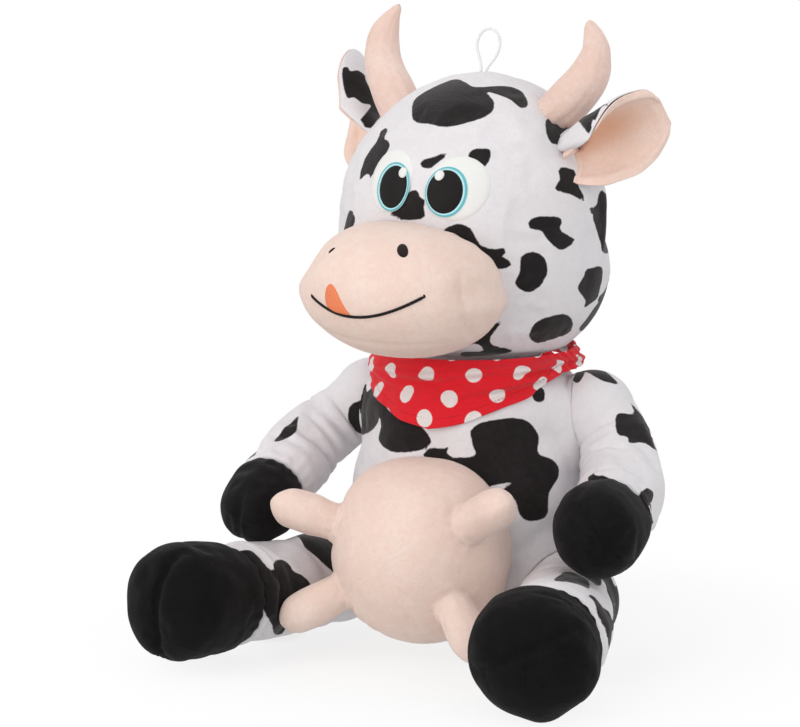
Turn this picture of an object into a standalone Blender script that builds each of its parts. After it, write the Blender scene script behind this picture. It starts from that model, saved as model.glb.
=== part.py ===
"""Sitting plush cow: sewn fabric skins over separate wads of fibre filling.

Frame: metres, +Z up, the cow faces -Y and its left side is +X. The origin is the
centre of the flat seat face under the torso, on the surface that the toy sits on.
Lengths below are in millimetres until a mesh is made.

Every limb root is a stuffed ball in a round socket of the torso, so that a limb turns
about its ball's centre with nothing cutting into the torso.
"""

import math

import bmesh
import bpy
from mathutils import Matrix, Vector

MM = 0.001

# ---- cloth and clearances ----
CLOTH = 1.6            # thickness of one layer of short-pile fabric
SEAM_GAP = 0.35        # between two pieces that are sewn face to face
INNER = CLOTH + 0.8    # how far a filling stays inside the outer face of its skin

# ---- torso ----
TORSO_PROFILE = (      # height, half width
    (0, 58), (5, 69), (16, 78.5), (36, 84.5), (64, 87.5), (95, 87), (120, 83),
    (138, 79.2), (154, 77.5), (170, 74), (181, 67), (187.5, 56), (190, 46),
)
TORSO_DEPTH = 0.96     # depth over width
TORSO_SIDES = 20

# ---- head ----
HEAD_CENTRE = (1.5, -2.0, 291.0)
HEAD_R, HEAD_H = 95.5, 97.0          # half width and half height
HEAD_TOP_POWER, HEAD_LOW_POWER = 2.0, 3.0
HEAD_TURN, HEAD_TILT, HEAD_ROLL = -3.2, 2.3, 5.0   # degrees, as it sits
HEAD_SIDES = 20
NECK = (0.0, 0.0, 195.0)
NECK_BALL = 36.0
NECK_RING = 46.0

# ---- muzzle, in the head's frame ----
MUZZLE_CENTRE = (-2.5, -97.5, -41.0)
MUZZLE_HALF = (67.5, 66.0, 44.5)
MUZZLE_POWER = 2.05

# ---- arms (left side; the right one is mirrored) ----
SHOULDER = (85.0, 6.0, 157.0)
SHOULDER_BALL = 29.0
ARM_PATH = ((85, 6, 157), (103, 0, 139.5), (115.5, -20, 117.5), (123.5, -56, 103), (128, -91, 98), (129, -126, 97))
ARM_PATH_RIGHT = ((85, 6, 157), (105, -2, 143), (121, -22, 125), (126.5, -56, 106), (125.5, -88, 92), (123.5, -121, 77))
ARM_RADII = ((0, 24), (30, 24.1), (60, 26.8), (96, 28), (111, 27.4), (116, 28.2), (127, 30.3), (140, 30.3), (151, 27), (158, 19), (163, 0))
ARM_RADII_RIGHT = ((0, 24), (30, 24), (60, 25), (96, 26), (111, 25.5), (116, 26), (127, 26.6), (140, 24.8), (151, 20.5), (158, 14), (162, 0))
ARM_CUFF = 111.0
ARM_LIFT = {"left": -1.0, "right": 0.0}

# ---- legs (left side) ----
HIP = (88.0, -46.0, 36.0)
HIP_BALL = 34.0
LEG_PATH = ((88, -46, 36), (100, -90, 35), (111.5, -135, 36.5), (122, -186, 41), (128, -225, 42))
LEG_RADII = ((0, 31), (14, 31), (40, 32.5), (75, 33), (104, 33), (110, 35.5), (124, 39.2), (142, 40.2), (158, 38.5), (170, 31.5), (177, 20), (181.5, 0))
LEG_PATH_RIGHT = ((88, -46, 36), (100, -90, 36), (111.5, -135, 38.5), (122.5, -186, 44.5), (129, -225, 48.5))
LEG_RADII_RIGHT = ((0, 31), (14, 31), (40, 32.5), (75, 33), (104, 33), (110, 34.5), (124, 37.5), (142, 38.3), (158, 36.8), (170, 30.5), (177, 19.5), (181.5, 0))
LEG_CUFF = 104.0

# ---- udder and teats ----
UDDER_CENTRE = (-0.5, -89.0, 71.0)
UDDER_HALF = (59.5, 60.0, 62.0)
TEAT_BALL = 14.2
TEAT_REACH = 106.0     # udder centre to teat tip
TEATS = {
    "teat_upper_left": (0.78, -0.45, 0.45), "teat_upper_right": (-0.81, -0.45, 0.31),
    "teat_lower_left": (0.632, -0.54, -0.46), "teat_lower_right": (-0.66, -0.54, -0.40),
}

# ---- colours ----
WHITE, BLACK, PINK = (0.74, 0.73, 0.77), (0.022, 0.018, 0.02), (0.83, 0.62, 0.53)
RED, ORANGE, BLUE, FIBRE = (0.72, 0.012, 0.02), (0.86, 0.26, 0.11), (0.13, 0.5, 0.62), (0.85, 0.85, 0.83)


# ---------------------------------------------------------------- helpers
for old in list(bpy.data.objects):
    bpy.data.objects.remove(old, do_unlink=True)

MATERIALS = {}


def material(name, colour, roughness):
    if name not in MATERIALS:
        made = bpy.data.materials.new(name)
        made.use_nodes = True
        shader = made.node_tree.nodes["Principled BSDF"]
        shader.inputs["Base Color"].default_value = (*colour, 1.0)
        shader.inputs["Roughness"].default_value = roughness
        shader.inputs["Metallic"].default_value = 0.0
        made.diffuse_color = (*colour, 1.0)
        MATERIALS[name] = made
    return MATERIALS[name]


def put(name, bm, mat=None, parent=None, cutter=False):
    """A new object of a bmesh in millimetres."""
    bmesh.ops.scale(bm, vec=(MM, MM, MM), verts=bm.verts)
    mesh = bpy.data.meshes.new(name)
    bm.to_mesh(mesh)
    bm.free()
    if not cutter:
        mesh.shade_smooth()
    obj = bpy.data.objects.new(name, mesh)
    bpy.context.scene.collection.objects.link(obj)
    if mat:
        mesh.materials.append(material(*mat))
    if parent:
        obj.parent = parent
    if cutter:
        obj.hide_render = True
        obj.display_type = "WIRE"
    return obj


def loft(rings, start="cap", end="cap"):
    """A bmesh through rings of equal count. start and end are cap, open or pole (then that ring holds one point)."""
    bm = bmesh.new()
    rows = [[bm.verts.new(p) for p in ring] for ring in rings]
    for a, b in zip(rows, rows[1:]):
        n = max(len(a), len(b))
        for i in range(n):
            j = (i + 1) % n
            if len(a) == 1:
                bm.faces.new((a[0], b[i], b[j]))
            elif len(b) == 1:
                bm.faces.new((a[i], b[0], a[j]))
            else:
                bm.faces.new((a[i], b[i], b[j], a[j]))
    caps = []
    for row, kind in ((rows[0], start), (rows[-1], end)):
        if len(row) > 1:
            caps.append((bm.faces.new(row), kind))
    bmesh.ops.recalc_face_normals(bm, faces=bm.faces)
    gone = [face for face, kind in caps if kind == "open"]
    bmesh.ops.delete(bm, geom=gone, context="FACES_ONLY")
    return bm


def solidify(obj, thickness):
    made = obj.modifiers.new("cloth", "SOLIDIFY")
    made.thickness = thickness * MM
    made.offset = -1.0
    made.use_even_offset = True
    made.use_rim = True
    return obj


def cut(obj, *cutters):
    for cutter in cutters:
        made = obj.modifiers.new("cut", "BOOLEAN")
        made.operation = "DIFFERENCE"
        made.solver = "EXACT"
        made.object = cutter
    return obj


def ball_cutter(name, centre, radius, u=16, v=9):
    bm = bmesh.new()
    bmesh.ops.create_uvsphere(bm, u_segments=u, v_segments=v, radius=radius)
    bmesh.ops.translate(bm, vec=Vector(centre), verts=bm.verts)
    return put(name, bm, cutter=True)


def ball(name, centre, radius, mat, parent=None):
    bm = bmesh.new()
    bmesh.ops.create_uvsphere(bm, u_segments=12, v_segments=7, radius=radius)
    obj = put(name, bm, mat, parent)
    obj.location = Vector(centre) * MM
    return obj


def mirrored(points):
    return tuple((-x, y, z) for x, y, z in points)


def smooth_path(points, step):
    """Points at equal spacing along a curve through the given ones, with the length of each."""
    pts = [Vector(p) for p in points]
    pts = [2 * pts[0] - pts[1], *pts, 2 * pts[-1] - pts[-2]]
    dense = []
    for i in range(1, len(pts) - 2):
        for k in range(24):
            t = k / 24
            a, b, c, d = pts[i - 1 : i + 3]
            dense.append(0.5 * ((2 * b) + (c - a) * t + (2 * a - 5 * b + 4 * c - d) * t * t + (3 * b - a - 3 * c + d) * t**3))
    dense.append(pts[-2])
    lengths = [0.0]
    for a, b in zip(dense, dense[1:]):
        lengths.append(lengths[-1] + (b - a).length)
    return dense, lengths


def at_length(path, s):
    dense, lengths = path
    if s <= 0:
        direction = (dense[1] - dense[0]).normalized()
        return dense[0] + direction * s, direction
    for i in range(len(lengths) - 1):
        if lengths[i + 1] >= s:
            break
    a, b = dense[i], dense[i + 1]
    share = (s - lengths[i]) / (lengths[i + 1] - lengths[i])
    low, high = dense[max(i - 4, 0)], dense[min(i + 5, len(dense) - 1)]
    return a + (b - a) * share, (high - low).normalized()


def table(rows, x):
    """Smooth value between the rows of a table."""
    if x <= rows[0][0]:
        return rows[0][1]
    for (x0, y0), (x1, y1) in zip(rows, rows[1:]):
        if x <= x1:
            return y0 + (y1 - y0) * (x - x0) / (x1 - x0)
    return rows[-1][1]


def ring(centre, direction, side, radius, count):
    up = direction.cross(side).normalized()
    side = up.cross(direction).normalized()
    return [centre + radius * (math.cos(a) * side + math.sin(a) * up) for a in (2 * math.pi * i / count for i in range(count))]


# ---------------------------------------------------------------- empties on the joint axes
def empty(name, centre, parent=None):
    made = bpy.data.objects.new(name, None)
    bpy.context.scene.collection.objects.link(made)
    made.location = Vector(centre) * MM
    if parent:
        made.parent = parent
    return made


neck_pivot = empty("neck_pivot", NECK)
head_frame = empty("head_frame", Vector(HEAD_CENTRE) - Vector(NECK), neck_pivot)
HEAD_TURNED = (
    Matrix.Rotation(math.radians(HEAD_TURN), 3, "Z")
    @ Matrix.Rotation(math.radians(HEAD_TILT), 3, "X")
    @ Matrix.Rotation(math.radians(HEAD_ROLL), 3, "Y")
)
head_frame.rotation_mode = "QUATERNION"
head_frame.rotation_quaternion = HEAD_TURNED.to_quaternion()


# ---------------------------------------------------------------- torso
def torso_rings(inset):
    """Rings of the torso's profile, moved inwards along its normal."""
    profile = [Vector((0, 0)), *(Vector((r, z)) for z, r in TORSO_PROFILE)]
    profile.append(2 * profile[-1] - profile[-2])
    rings = []
    for before, here, after in zip(profile, profile[1:], profile[2:]):
        first, second = (here - before).normalized(), (after - here).normalized()
        along = (first + second).normalized()
        out = Vector((along.y, -along.x))
        r, z = here - out * (inset / max(along.dot(first), 0.6))
        rings.append([Vector((r * math.cos(a), TORSO_DEPTH * r * math.sin(a), z)) for a in (2 * math.pi * i / TORSO_SIDES for i in range(TORSO_SIDES))])
    return rings


def both(centre):
    return {"left": centre, "right": (-centre[0], centre[1], centre[2])}


neck_socket = ball_cutter("neck_socket", NECK, NECK_BALL + 1.2)
sockets = [neck_socket]
for side, centre in both(SHOULDER).items():
    sockets.append(ball_cutter(f"shoulder_socket_{side}", centre, SHOULDER_BALL + 1.4))
for side, centre in both(HIP).items():
    sockets.append(ball_cutter(f"hip_socket_{side}", centre, HIP_BALL + 1.4))

torso_skin = put("torso_skin", loft(torso_rings(0), "cap", "open"), ("printed_plush", WHITE, 0.9))
solidify(torso_skin, CLOTH)
cut(torso_skin, *sockets[1:])
torso_filling = put("torso_filling", loft(torso_rings(INNER)), ("fibre", FIBRE, 1.0))
cut(torso_filling, *sockets)
neck_filling = ball("neck_filling", (0, 0, 0), NECK_BALL, ("fibre", FIBRE, 1.0), neck_pivot)


# ---------------------------------------------------------------- head
def head_point(turn, rise, grow=0.0):
    """A point of the head: turn about its axis, rise from -90 at the neck to 90 at the crown, in degrees."""
    power = HEAD_TOP_POWER if rise >= 0 else HEAD_LOW_POWER
    c, s = abs(math.cos(math.radians(rise))) ** (2 / power), abs(math.sin(math.radians(rise))) ** (2 / power)
    r = (HEAD_R + grow) * c
    z = math.copysign((HEAD_H + grow) * s, rise)
    return Vector((r * math.cos(math.radians(turn)), r * math.sin(math.radians(turn)), z))


def head_rings(rises, grow=0.0):
    rings = []
    for rise in rises:
        if rise >= 90:
            rings.append([Vector((0, 0, HEAD_H + grow))])
        else:
            rings.append([head_point(360 * i / HEAD_SIDES, rise, grow) for i in range(HEAD_SIDES)])
    return rings


RISES = (-68.4, -58, -46, -32, -17, 0, 17, 33, 49, 64, 78, 90)
head_skin = put("head_skin", loft(head_rings(RISES), "open", "pole"), ("printed_plush", WHITE, 0.9), head_frame)
solidify(head_skin, CLOTH)
head_filling = put("head_filling", loft(head_rings(RISES, -INNER), "cap", "pole"), ("fibre", FIBRE, 1.0), head_frame)
cut(head_filling, neck_socket)
head_cutter = put("head_cutter", loft(head_rings((-80, *RISES), SEAM_GAP), "cap", "pole"), cutter=True, parent=head_frame)


def head_front(x, z):
    """The front of the head above or beside its middle, and the outward direction there."""
    power = HEAD_TOP_POWER if z >= 0 else HEAD_LOW_POWER
    r = HEAD_R * (1 - abs(z / HEAD_H) ** power) ** (1 / power)
    y = -math.sqrt(r * r - x * x)
    slope = abs(z / HEAD_H) ** (power - 1) / HEAD_H * math.copysign(1, z)
    flat = (r / HEAD_R) ** (power - 1) / HEAD_R
    out = Vector((x / r * flat, y / r * flat, slope)).normalized()
    return Vector((x, y, z)), out


def muzzle_front(x, z):
    a, b, c = MUZZLE_HALF
    u, w = (x - MUZZLE_CENTRE[0]) / a, (z - MUZZLE_CENTRE[2]) / c
    n = MUZZLE_POWER
    v = (1 - abs(u) ** n - abs(w) ** n) ** (1 / n)
    out = Vector((math.copysign(abs(u) ** (n - 1) / a, u), -(v ** (n - 1)) / b, math.copysign(abs(w) ** (n - 1) / c, w))).normalized()
    return Vector((x, MUZZLE_CENTRE[1] - b * v, z)), out


def patch(name, outline, centre, surface, low, high, mat, hole=None):
    """A thin piece laid on a surface, from low to high above it. outline and hole are (x, z) points seen from the front."""
    bm = bmesh.new()
    n = len(outline)
    layers = []
    for lift in (low, high):
        def at(p):
            point, out = surface(*p)
            return bm.verts.new(point + out * lift)
        edge = [at(p) for p in outline]
        if hole:
            inner = [at(p) for p in hole]
        else:
            inner = [at(((p[0] + centre[0]) / 2, (p[1] + centre[1]) / 2)) for p in outline]
        middle = None if hole else at(centre)
        layers.append((edge, inner, middle))
    for edge, inner, middle in layers:
        for i in range(n):
            j = (i + 1) % n
            bm.faces.new((edge[i], edge[j], inner[j], inner[i]))
            if middle:
                bm.faces.new((inner[i], inner[j], middle))
    for i in range(n):
        j = (i + 1) % n
        bm.faces.new((layers[0][0][i], layers[0][0][j], layers[1][0][j], layers[1][0][i]))
        if hole:
            bm.faces.new((layers[0][1][i], layers[0][1][j], layers[1][1][j], layers[1][1][i]))
    bmesh.ops.recalc_face_normals(bm, faces=bm.faces)
    return put(name, bm, mat, head_frame)


def oval(centre, half_x, half_z, lean=0.0, count=14):
    c, s = math.cos(math.radians(lean)), math.sin(math.radians(lean))
    points = []
    for i in range(count):
        a = 2 * math.pi * i / count
        x, z = half_x * math.cos(a), half_z * math.sin(a)
        points.append((centre[0] + x * c - z * s, centre[1] + x * s + z * c))
    return points


# ---- muzzle: a dome whose open back lies on the head ----
def muzzle_rings(inset, turns=20, steps=10):
    a, b, c = (half - inset for half in MUZZLE_HALF)
    power = 2 / MUZZLE_POWER

    def bend(value):
        return math.copysign(abs(value) ** power, value)

    rings = []
    for i in range(steps + 1):
        rise = math.pi * (i / steps - 0.5)
        z = MUZZLE_CENTRE[2] + c * bend(math.sin(rise))
        if i in (0, steps):
            rings.append([Vector((MUZZLE_CENTRE[0], MUZZLE_CENTRE[1], z))])
            continue
        r = abs(math.cos(rise)) ** power
        rings.append([
            Vector((MUZZLE_CENTRE[0] + a * r * bend(math.cos(t)), MUZZLE_CENTRE[1] + b * r * bend(math.sin(t)), z))
            for t in (2 * math.pi * (k + 0.5) / turns for k in range(turns))
        ])
    return rings


muzzle_skin = put("muzzle_skin", loft(muzzle_rings(0)), ("pink_plush", PINK, 0.9), head_frame)
muzzle_hollow = put("muzzle_hollow", loft(muzzle_rings(CLOTH)), cutter=True, parent=head_frame)
cut(muzzle_skin, muzzle_hollow, head_cutter)
muzzle_filling = put("muzzle_filling", loft(muzzle_rings(INNER)), ("fibre", FIBRE, 1.0), head_frame)
cut(muzzle_filling, head_cutter)

# ---- face ----
EYE = {"left": (20.0, 23.5), "right": (-18.0, 23.0)}
WHITE_OF_EYE = {"left": ((27.5, 26.5), 17.2, 19.7, 0), "right": ((-20.5, 27.5), 17.2, 19.7, 0)}
RING_HALF, PUPIL_HALF = (14.0, 16.2), (11.6, 13.6)
for side in ("left", "right"):
    centre, hx, hz, lean = WHITE_OF_EYE[side]
    lean_ring = 9 if side == "left" else 5
    patch(f"eye_white_{side}", oval(centre, hx, hz, lean), centre, head_front, 0.35, 1.0, ("satin_white", (0.8, 0.8, 0.79), 0.5))
    e = EYE[side]
    patch(f"eye_ring_{side}", oval(e, *RING_HALF, lean_ring), e, head_front, 1.35, 2.1, ("satin_blue", BLUE, 0.45), hole=oval(e, RING_HALF[0] - 1.9, RING_HALF[1] - 1.9, lean_ring))
    patch(f"eye_pupil_{side}", oval(e, *PUPIL_HALF, lean_ring), e, head_front, 1.35, 2.0, ("satin_black", BLACK, 0.4))
    g = (14.5, 33.0) if side == "left" else (-12.4, 33.0)
    patch(f"eye_glint_{side}", oval(g, 3.2, 3.2, 0, 10), g, head_front, 2.3, 2.9, ("satin_white", (0.8, 0.8, 0.79), 0.5))
    at = (18.9, -10.0) if side == "left" else (-28.5, -15.0)
    patch(f"nostril_{side}", oval(at, 2.7, 3.8, 0, 10), at, muzzle_front, 0.35, 1.0, ("satin_black", BLACK, 0.4))


def mouth_height(x):
    return -52.8 + 0.0081 * (x + 5.8) ** 2


def mouth():
    rings = []
    count = 16
    for i in range(count):
        x = -38.5 + 79.0 * i / (count - 1)
        slope = 0.0162 * (x + 5.8)
        across = Vector((-slope, 0, 1)).normalized()
        half = 0.8 if 0 < i < count - 1 else 0.6
        points = []
        for offset, lift in ((-half, 0.35), (half, 0.35), (half, 1.15), (-half, 1.15)):
            point, out = muzzle_front(x + across.x * offset, mouth_height(x) + across.z * offset)
            points.append(point + out * lift)
        rings.append(points)
    return put("mouth_stitching", loft(rings), ("satin_black", BLACK, 0.4), head_frame)


mouth()
tongue_line = [(-24.5, mouth_height(-24.5) + 1.9), (-25.4, -42.5), (-24.0, -37.0), (-21.0, -33.9), (-18.0, -35.5), (-14.2, -40.5), (-10.2, -45.6), (-6.0, mouth_height(-6.0) + 1.9), (-14.5, mouth_height(-14.5) + 1.9)]
patch("tongue", tongue_line, (-18.5, -43.5), muzzle_front, 0.35, 1.0, ("satin_orange", ORANGE, 0.5))


# ---- horns: curved cones, cut to sit on the head ----
HORN_PATH = {
    "left": ((46, -10, 65), (58, -10, 76), (72, -10, 90), (79.5, -8.5, 103), (82, -7, 116.5), (79.5, -5, 125.5), (75.5, -3, 133), (73, -1, 138)),
    "right": ((-55, -10, 60), (-63, -10, 73.5), (-68, -10, 82), (-74.5, -9, 92), (-79, -7.5, 103), (-80, -5.5, 117), (-77, -3, 129), (-73.5, -1, 137), (-71.7, 0, 141.4)),
}
HORN_RADII = {         # along the path, from its start inside the head
    "left": ((0, 13.7), (16, 13.9), (25, 14.6), (36, 14.4), (47, 13.7), (56, 12.6), (65, 10.5), (75, 7.6), (83, 4.6), (88, 2.6)),
    "right": ((0, 15.5), (16, 15.5), (26, 15), (37, 14.2), (47, 13.2), (55, 12.2), (66, 10.4), (76, 7.2), (85, 3.8), (88, 2.6)),
}


def horn(side):
    path = smooth_path(HORN_PATH[side], 4)
    total = path[1][-1]
    steps = (0, 18, 33, 46, 57, 68, 78, total - 3)

    def rings(inset):
        made = []
        for s in steps:
            centre, direction = at_length(path, s)
            made.append(ring(centre, direction, Vector((0, 1, 0)), max(table(HORN_RADII[side], s) - inset, 0.6), 12))
        tip, _ = at_length(path, total - inset)
        made.append([tip])
        return made

    skin = put(f"horn_skin_{side}", loft(rings(0), "open", "pole"), ("pink_plush", PINK, 0.9), head_frame)
    solidify(skin, 1.2)
    cut(skin, head_cutter)
    made = rings(2.0)[:-3]
    filling = put(f"horn_filling_{side}", loft(made), ("fibre", FIBRE, 1.0), head_frame)
    cut(filling, head_cutter)


# ---- ears: a printed back and a pink lining, rolled forwards along both edges ----
# An ear is a leaf bent across its axis. The half on the horn's side is rolled hard, so
# that its back shows; the lower half opens outwards. Tables: share of the length, value.
EAR_ROOT = {"left": (78, -20, 53), "right": (-83, 9, 39.5)}
EAR_TIP = {"left": (134, -3, 86.5), "right": (-123, 37.5, 100.5)}
EAR_FACING = {"left": (0.35, -0.85, -0.35), "right": (-0.7, -0.62, -0.2)}
EAR_HALF_WIDTH = {     # upper half, lower half
    "left": (((-0.3, 60), (0, 60), (0.15, 57), (0.35, 47), (0.55, 39), (0.75, 33), (0.9, 26), (1.0, 9)),
             ((-0.3, 22), (0, 26), (0.15, 34), (0.35, 40), (0.55, 39), (0.75, 32), (0.9, 21), (1.0, 8))),
    "right": (((-0.3, 38), (0, 42), (0.15, 48), (0.35, 52), (0.55, 49), (0.75, 40), (0.9, 27), (1.0, 10)),
              ((-0.3, 24), (0, 30), (0.15, 40), (0.35, 46), (0.55, 39), (0.75, 28), (0.9, 18), (1.0, 8))),
}
EAR_BEND = {           # degrees from the axis to the edge: upper half, lower half
    "left": (((0, 136), (0.15, 130), (0.3, 116), (0.6, 86), (0.85, 55), (1.0, 30)), ((0, 105), (0.3, 85), (0.6, 55), (0.85, 35), (1.0, 15))),
    "right": (((0, 70), (0.3, 84), (0.6, 96), (0.85, 72), (1.0, 36)), ((0, 110), (0.3, 92), (0.6, 70), (0.85, 40), (1.0, 20))),
}
EAR_RISE = {"left": 3.5, "right": -3.0}
EAR_BOW = {"left": 2.0, "right": 6.5}
EAR_SHEAR = {"left": (16.0, 12.0), "right": (20.0, 12.0)}      # the base slants: its upper corner starts further out, its lower one further in


def ear_axes(side):
    root = Vector(EAR_ROOT[side])
    along = Vector(EAR_TIP[side]) - root
    length = along.length
    along.normalize()
    facing = Vector(EAR_FACING[side])
    facing = (facing - along * facing.dot(along)).normalized()
    across = along.cross(facing)
    return root, along, across if across.z > 0 else -across, facing, length


def ear_point(side, u, v, shrink=0.0, lift=0.0):
    """A point of the leaf: u along it from 0 at the base, v from -1 at the lower edge to 1 at the upper one."""
    root, along, across, facing, length = ear_axes(side)
    upper = v > 0
    half = table(EAR_HALF_WIDTH[side][0 if upper else 1], u)
    bend = math.radians(table(EAR_BEND[side][0 if upper else 1], u))
    radius = half / bend
    turn = bend * abs(v) * (half - shrink) / half
    out = across * (math.sin(turn) * (1 if upper else -1))
    wave = math.sin(math.pi * max(u, 0.0))
    spine = root + along * (length * u + EAR_SHEAR[side][0 if upper else 1] * v * (1 - u)) + across * (EAR_RISE[side] * wave) - facing * (EAR_BOW[side] * wave)
    return spine + (out + facing * (1 - math.cos(turn))) * radius + (facing * math.cos(turn) - out) * lift


def ear_sheet(side, u0, u1, shrink, lift, rows=8, columns=11):
    bm = bmesh.new()
    grid = []
    for i in range(rows):
        u = u0 + (u1 - u0) * i / (rows - 1)
        grid.append([bm.verts.new(ear_point(side, u, -1 + 2 * k / (columns - 1), shrink, lift)) for k in range(columns)])
    for i in range(rows - 1):
        for k in range(columns - 1):
            bm.faces.new((grid[i][k], grid[i][k + 1], grid[i + 1][k + 1], grid[i + 1][k]))
    bm.normal_update()
    facing = ear_axes(side)[3]
    middle = (rows - 1) // 2 * (columns - 1) + (columns - 1) // 2
    bm.faces.ensure_lookup_table()
    if bm.faces[middle].normal.dot(facing) < 0:
        bmesh.ops.reverse_faces(bm, faces=bm.faces)
    return bm


ear_cutter = put("ear_cutter", loft(head_rings((-80, *RISES), 2.0), "cap", "pole"), cutter=True, parent=head_frame)
for side in ("left", "right"):
    horn(side)
    back = put(f"ear_back_{side}", ear_sheet(side, -0.15, 1, 0, 0), ("printed_plush", WHITE, 0.9), head_frame)
    solidify(back, 1.8)
    cut(back, ear_cutter)
    lining = put(f"ear_lining_{side}", ear_sheet(side, -0.14, 0.96, 2.0, 2.9), ("pink_plush", PINK, 0.9), head_frame)
    solidify(lining, 1.3)
    cut(lining, ear_cutter)


# ---- hanging loop of thin cord, both ends in the crown seam ----
LOOP_CORD = 1.0        # half thickness
LOOP_POINTS = ((-7.0, 1.6), (-7.4, 6.5), (-9.4, 12), (-11.4, 18.5), (-10.2, 25), (-6.5, 29.6), (-1.5, 30.9), (3, 28.6), (6, 23), (5.2, 16), (2.4, 10.5), (-1.4, 5.5), (-3.2, 1.6))


def hanging_loop():
    path, lengths = smooth_path([(x, 4.0, HEAD_H + z) for x, z in LOOP_POINTS], 2)
    count = 20
    curve = bpy.data.curves.new("hanging_loop", "CURVE")
    curve.dimensions = "3D"
    curve.bevel_depth = LOOP_CORD * MM
    curve.bevel_resolution = 2
    curve.use_fill_caps = True
    spline = curve.splines.new("POLY")
    spline.points.add(count - 1)
    for i in range(count):
        point, _ = at_length((path, lengths), lengths[-1] * i / (count - 1) if i else 1e-6)
        spline.points[i].co = (*(point * MM), 1.0)
    obj = bpy.data.objects.new("hanging_loop", curve)
    bpy.context.scene.collection.objects.link(obj)
    curve.materials.append(material("white_cord", (0.8, 0.8, 0.8), 0.7))
    obj.parent = head_frame


hanging_loop()


# ---------------------------------------------------------------- limbs
def limb(names, path_points, radii, ball_radius, cuff, pivot, sides=12):
    """A sleeve with a ball root, a velvet foot on its end and one filling through both."""
    sleeve_name, foot_name, filling_name, wad_name = names
    path = smooth_path(path_points, 3)
    end = radii[-1][0]
    d0 = at_length(path, 0)[1]
    c0 = path[0][0]
    r0 = table(radii, 0)
    lean = Vector((0, 0, 1)) if abs(d0.z) < 0.8 else Vector((1, 0, 0))
    neck_s = math.sqrt(ball_radius**2 - r0**2)

    def tube(stations, inset):
        made = []
        for s in stations:
            centre, direction = at_length(path, s)
            if s < 30:      # the direction eases from the ball's axis into the tube's
                direction = (d0 * (30 - max(s, 0)) + direction * max(s, 0)).normalized()
            made.append(ring(centre, direction, lean, max(table(radii, s) - inset, 0.5), sides))
        return made

    root = []
    for degrees in (18, 44, 70, 96):
        a = math.radians(degrees)
        if -ball_radius * math.cos(a) < neck_s - 2:
            root.append(ring(c0 - d0 * (ball_radius * math.cos(a)), d0, lean, ball_radius * math.sin(a), sides))
    sleeve_steps = [neck_s, 32, 56, 82, cuff]
    sleeve_steps = [s for s in sleeve_steps if s <= cuff]
    sleeve = put(sleeve_name, loft(root + tube(sleeve_steps, 0), "open", "open"), ("printed_plush", WHITE, 0.9))
    solidify(sleeve, CLOTH)
    foot_steps = [s for s, _ in radii if cuff < s < end]
    foot_rings = tube([cuff + SEAM_GAP, *foot_steps], 0)
    tip, _ = at_length(path, end)
    foot = put(foot_name, loft([*foot_rings, [tip]], "open", "pole"), ("black_velvet", (0.012, 0.01, 0.011), 0.8))
    solidify(foot, CLOTH)
    start = ball_radius - 2.4
    widest = max(s for s, r in radii if r == max(r for _, r in radii))
    filling_rings = tube([start, 34, 56], INNER + 2.2) + tube([82, cuff, *[s for s in foot_steps if s <= widest]], INNER + 0.9)
    for s in foot_steps:        # past its widest part the filling follows the foot inwards
        if s > widest:
            centre, direction = at_length(path, s - 4.0)
            filling_rings.append(ring(centre, direction, lean, table(radii, s) - 3.4, sides))
    put(filling_name, loft(filling_rings), ("fibre", FIBRE, 1.0))
    ball(wad_name, Vector((0, 0, 0)), ball_radius - 3.6, ("fibre", FIBRE, 1.0), pivot)


for side in ("left", "right"):
    flip = (lambda points: points) if side == "left" else mirrored
    arm_points = [(x, y, z + ARM_LIFT[side] * min(i / 4, 1.0)) for i, (x, y, z) in enumerate(ARM_PATH if side == "left" else ARM_PATH_RIGHT)]
    limb(
        (f"arm_sleeve_{side}", f"fore_hoof_{side}", f"arm_filling_{side}", f"shoulder_filling_{side}"),
        flip(arm_points), ARM_RADII if side == "left" else ARM_RADII_RIGHT, SHOULDER_BALL, ARM_CUFF, empty(f"shoulder_pivot_{side}", both(SHOULDER)[side]),
    )
    limb(
        (f"leg_sleeve_{side}", f"hind_hoof_{side}", f"leg_filling_{side}", f"hip_filling_{side}"),
        flip(LEG_PATH if side == "left" else LEG_PATH_RIGHT), LEG_RADII if side == "left" else LEG_RADII_RIGHT, HIP_BALL, LEG_CUFF, empty(f"hip_pivot_{side}", both(HIP)[side]),
    )


# ---------------------------------------------------------------- udder and teats
def udder_mesh(inset, u=18, v=10):
    bm = bmesh.new()
    bmesh.ops.create_uvsphere(bm, u_segments=u, v_segments=v, radius=1.0)
    bmesh.ops.rotate(bm, cent=(0, 0, 0), matrix=Matrix.Rotation(math.radians(90), 3, "X"), verts=bm.verts)
    bmesh.ops.scale(bm, vec=[half - inset for half in UDDER_HALF], verts=bm.verts)
    bmesh.ops.translate(bm, vec=Vector(UDDER_CENTRE), verts=bm.verts)
    return bm


torso_cutter = put("torso_cutter", loft(torso_rings(-SEAM_GAP)), cutter=True)
udder_hollow = put("udder_hollow", udder_mesh(CLOTH), cutter=True)
teat_sockets = []
for name, direction in TEATS.items():
    direction = Vector(direction).normalized()
    root = Vector(UDDER_CENTRE) + direction * 55.0
    teat_sockets.append(ball_cutter(f"{name}_socket", root, TEAT_BALL + 0.9, 12, 7))

udder_skin = put("udder_skin", udder_mesh(0), ("pink_plush", PINK, 0.9))
cut(udder_skin, udder_hollow, torso_cutter, *teat_sockets)
udder_filling = put("udder_filling", udder_mesh(INNER), ("fibre", FIBRE, 1.0))
cut(udder_filling, torso_cutter, *teat_sockets)

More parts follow.
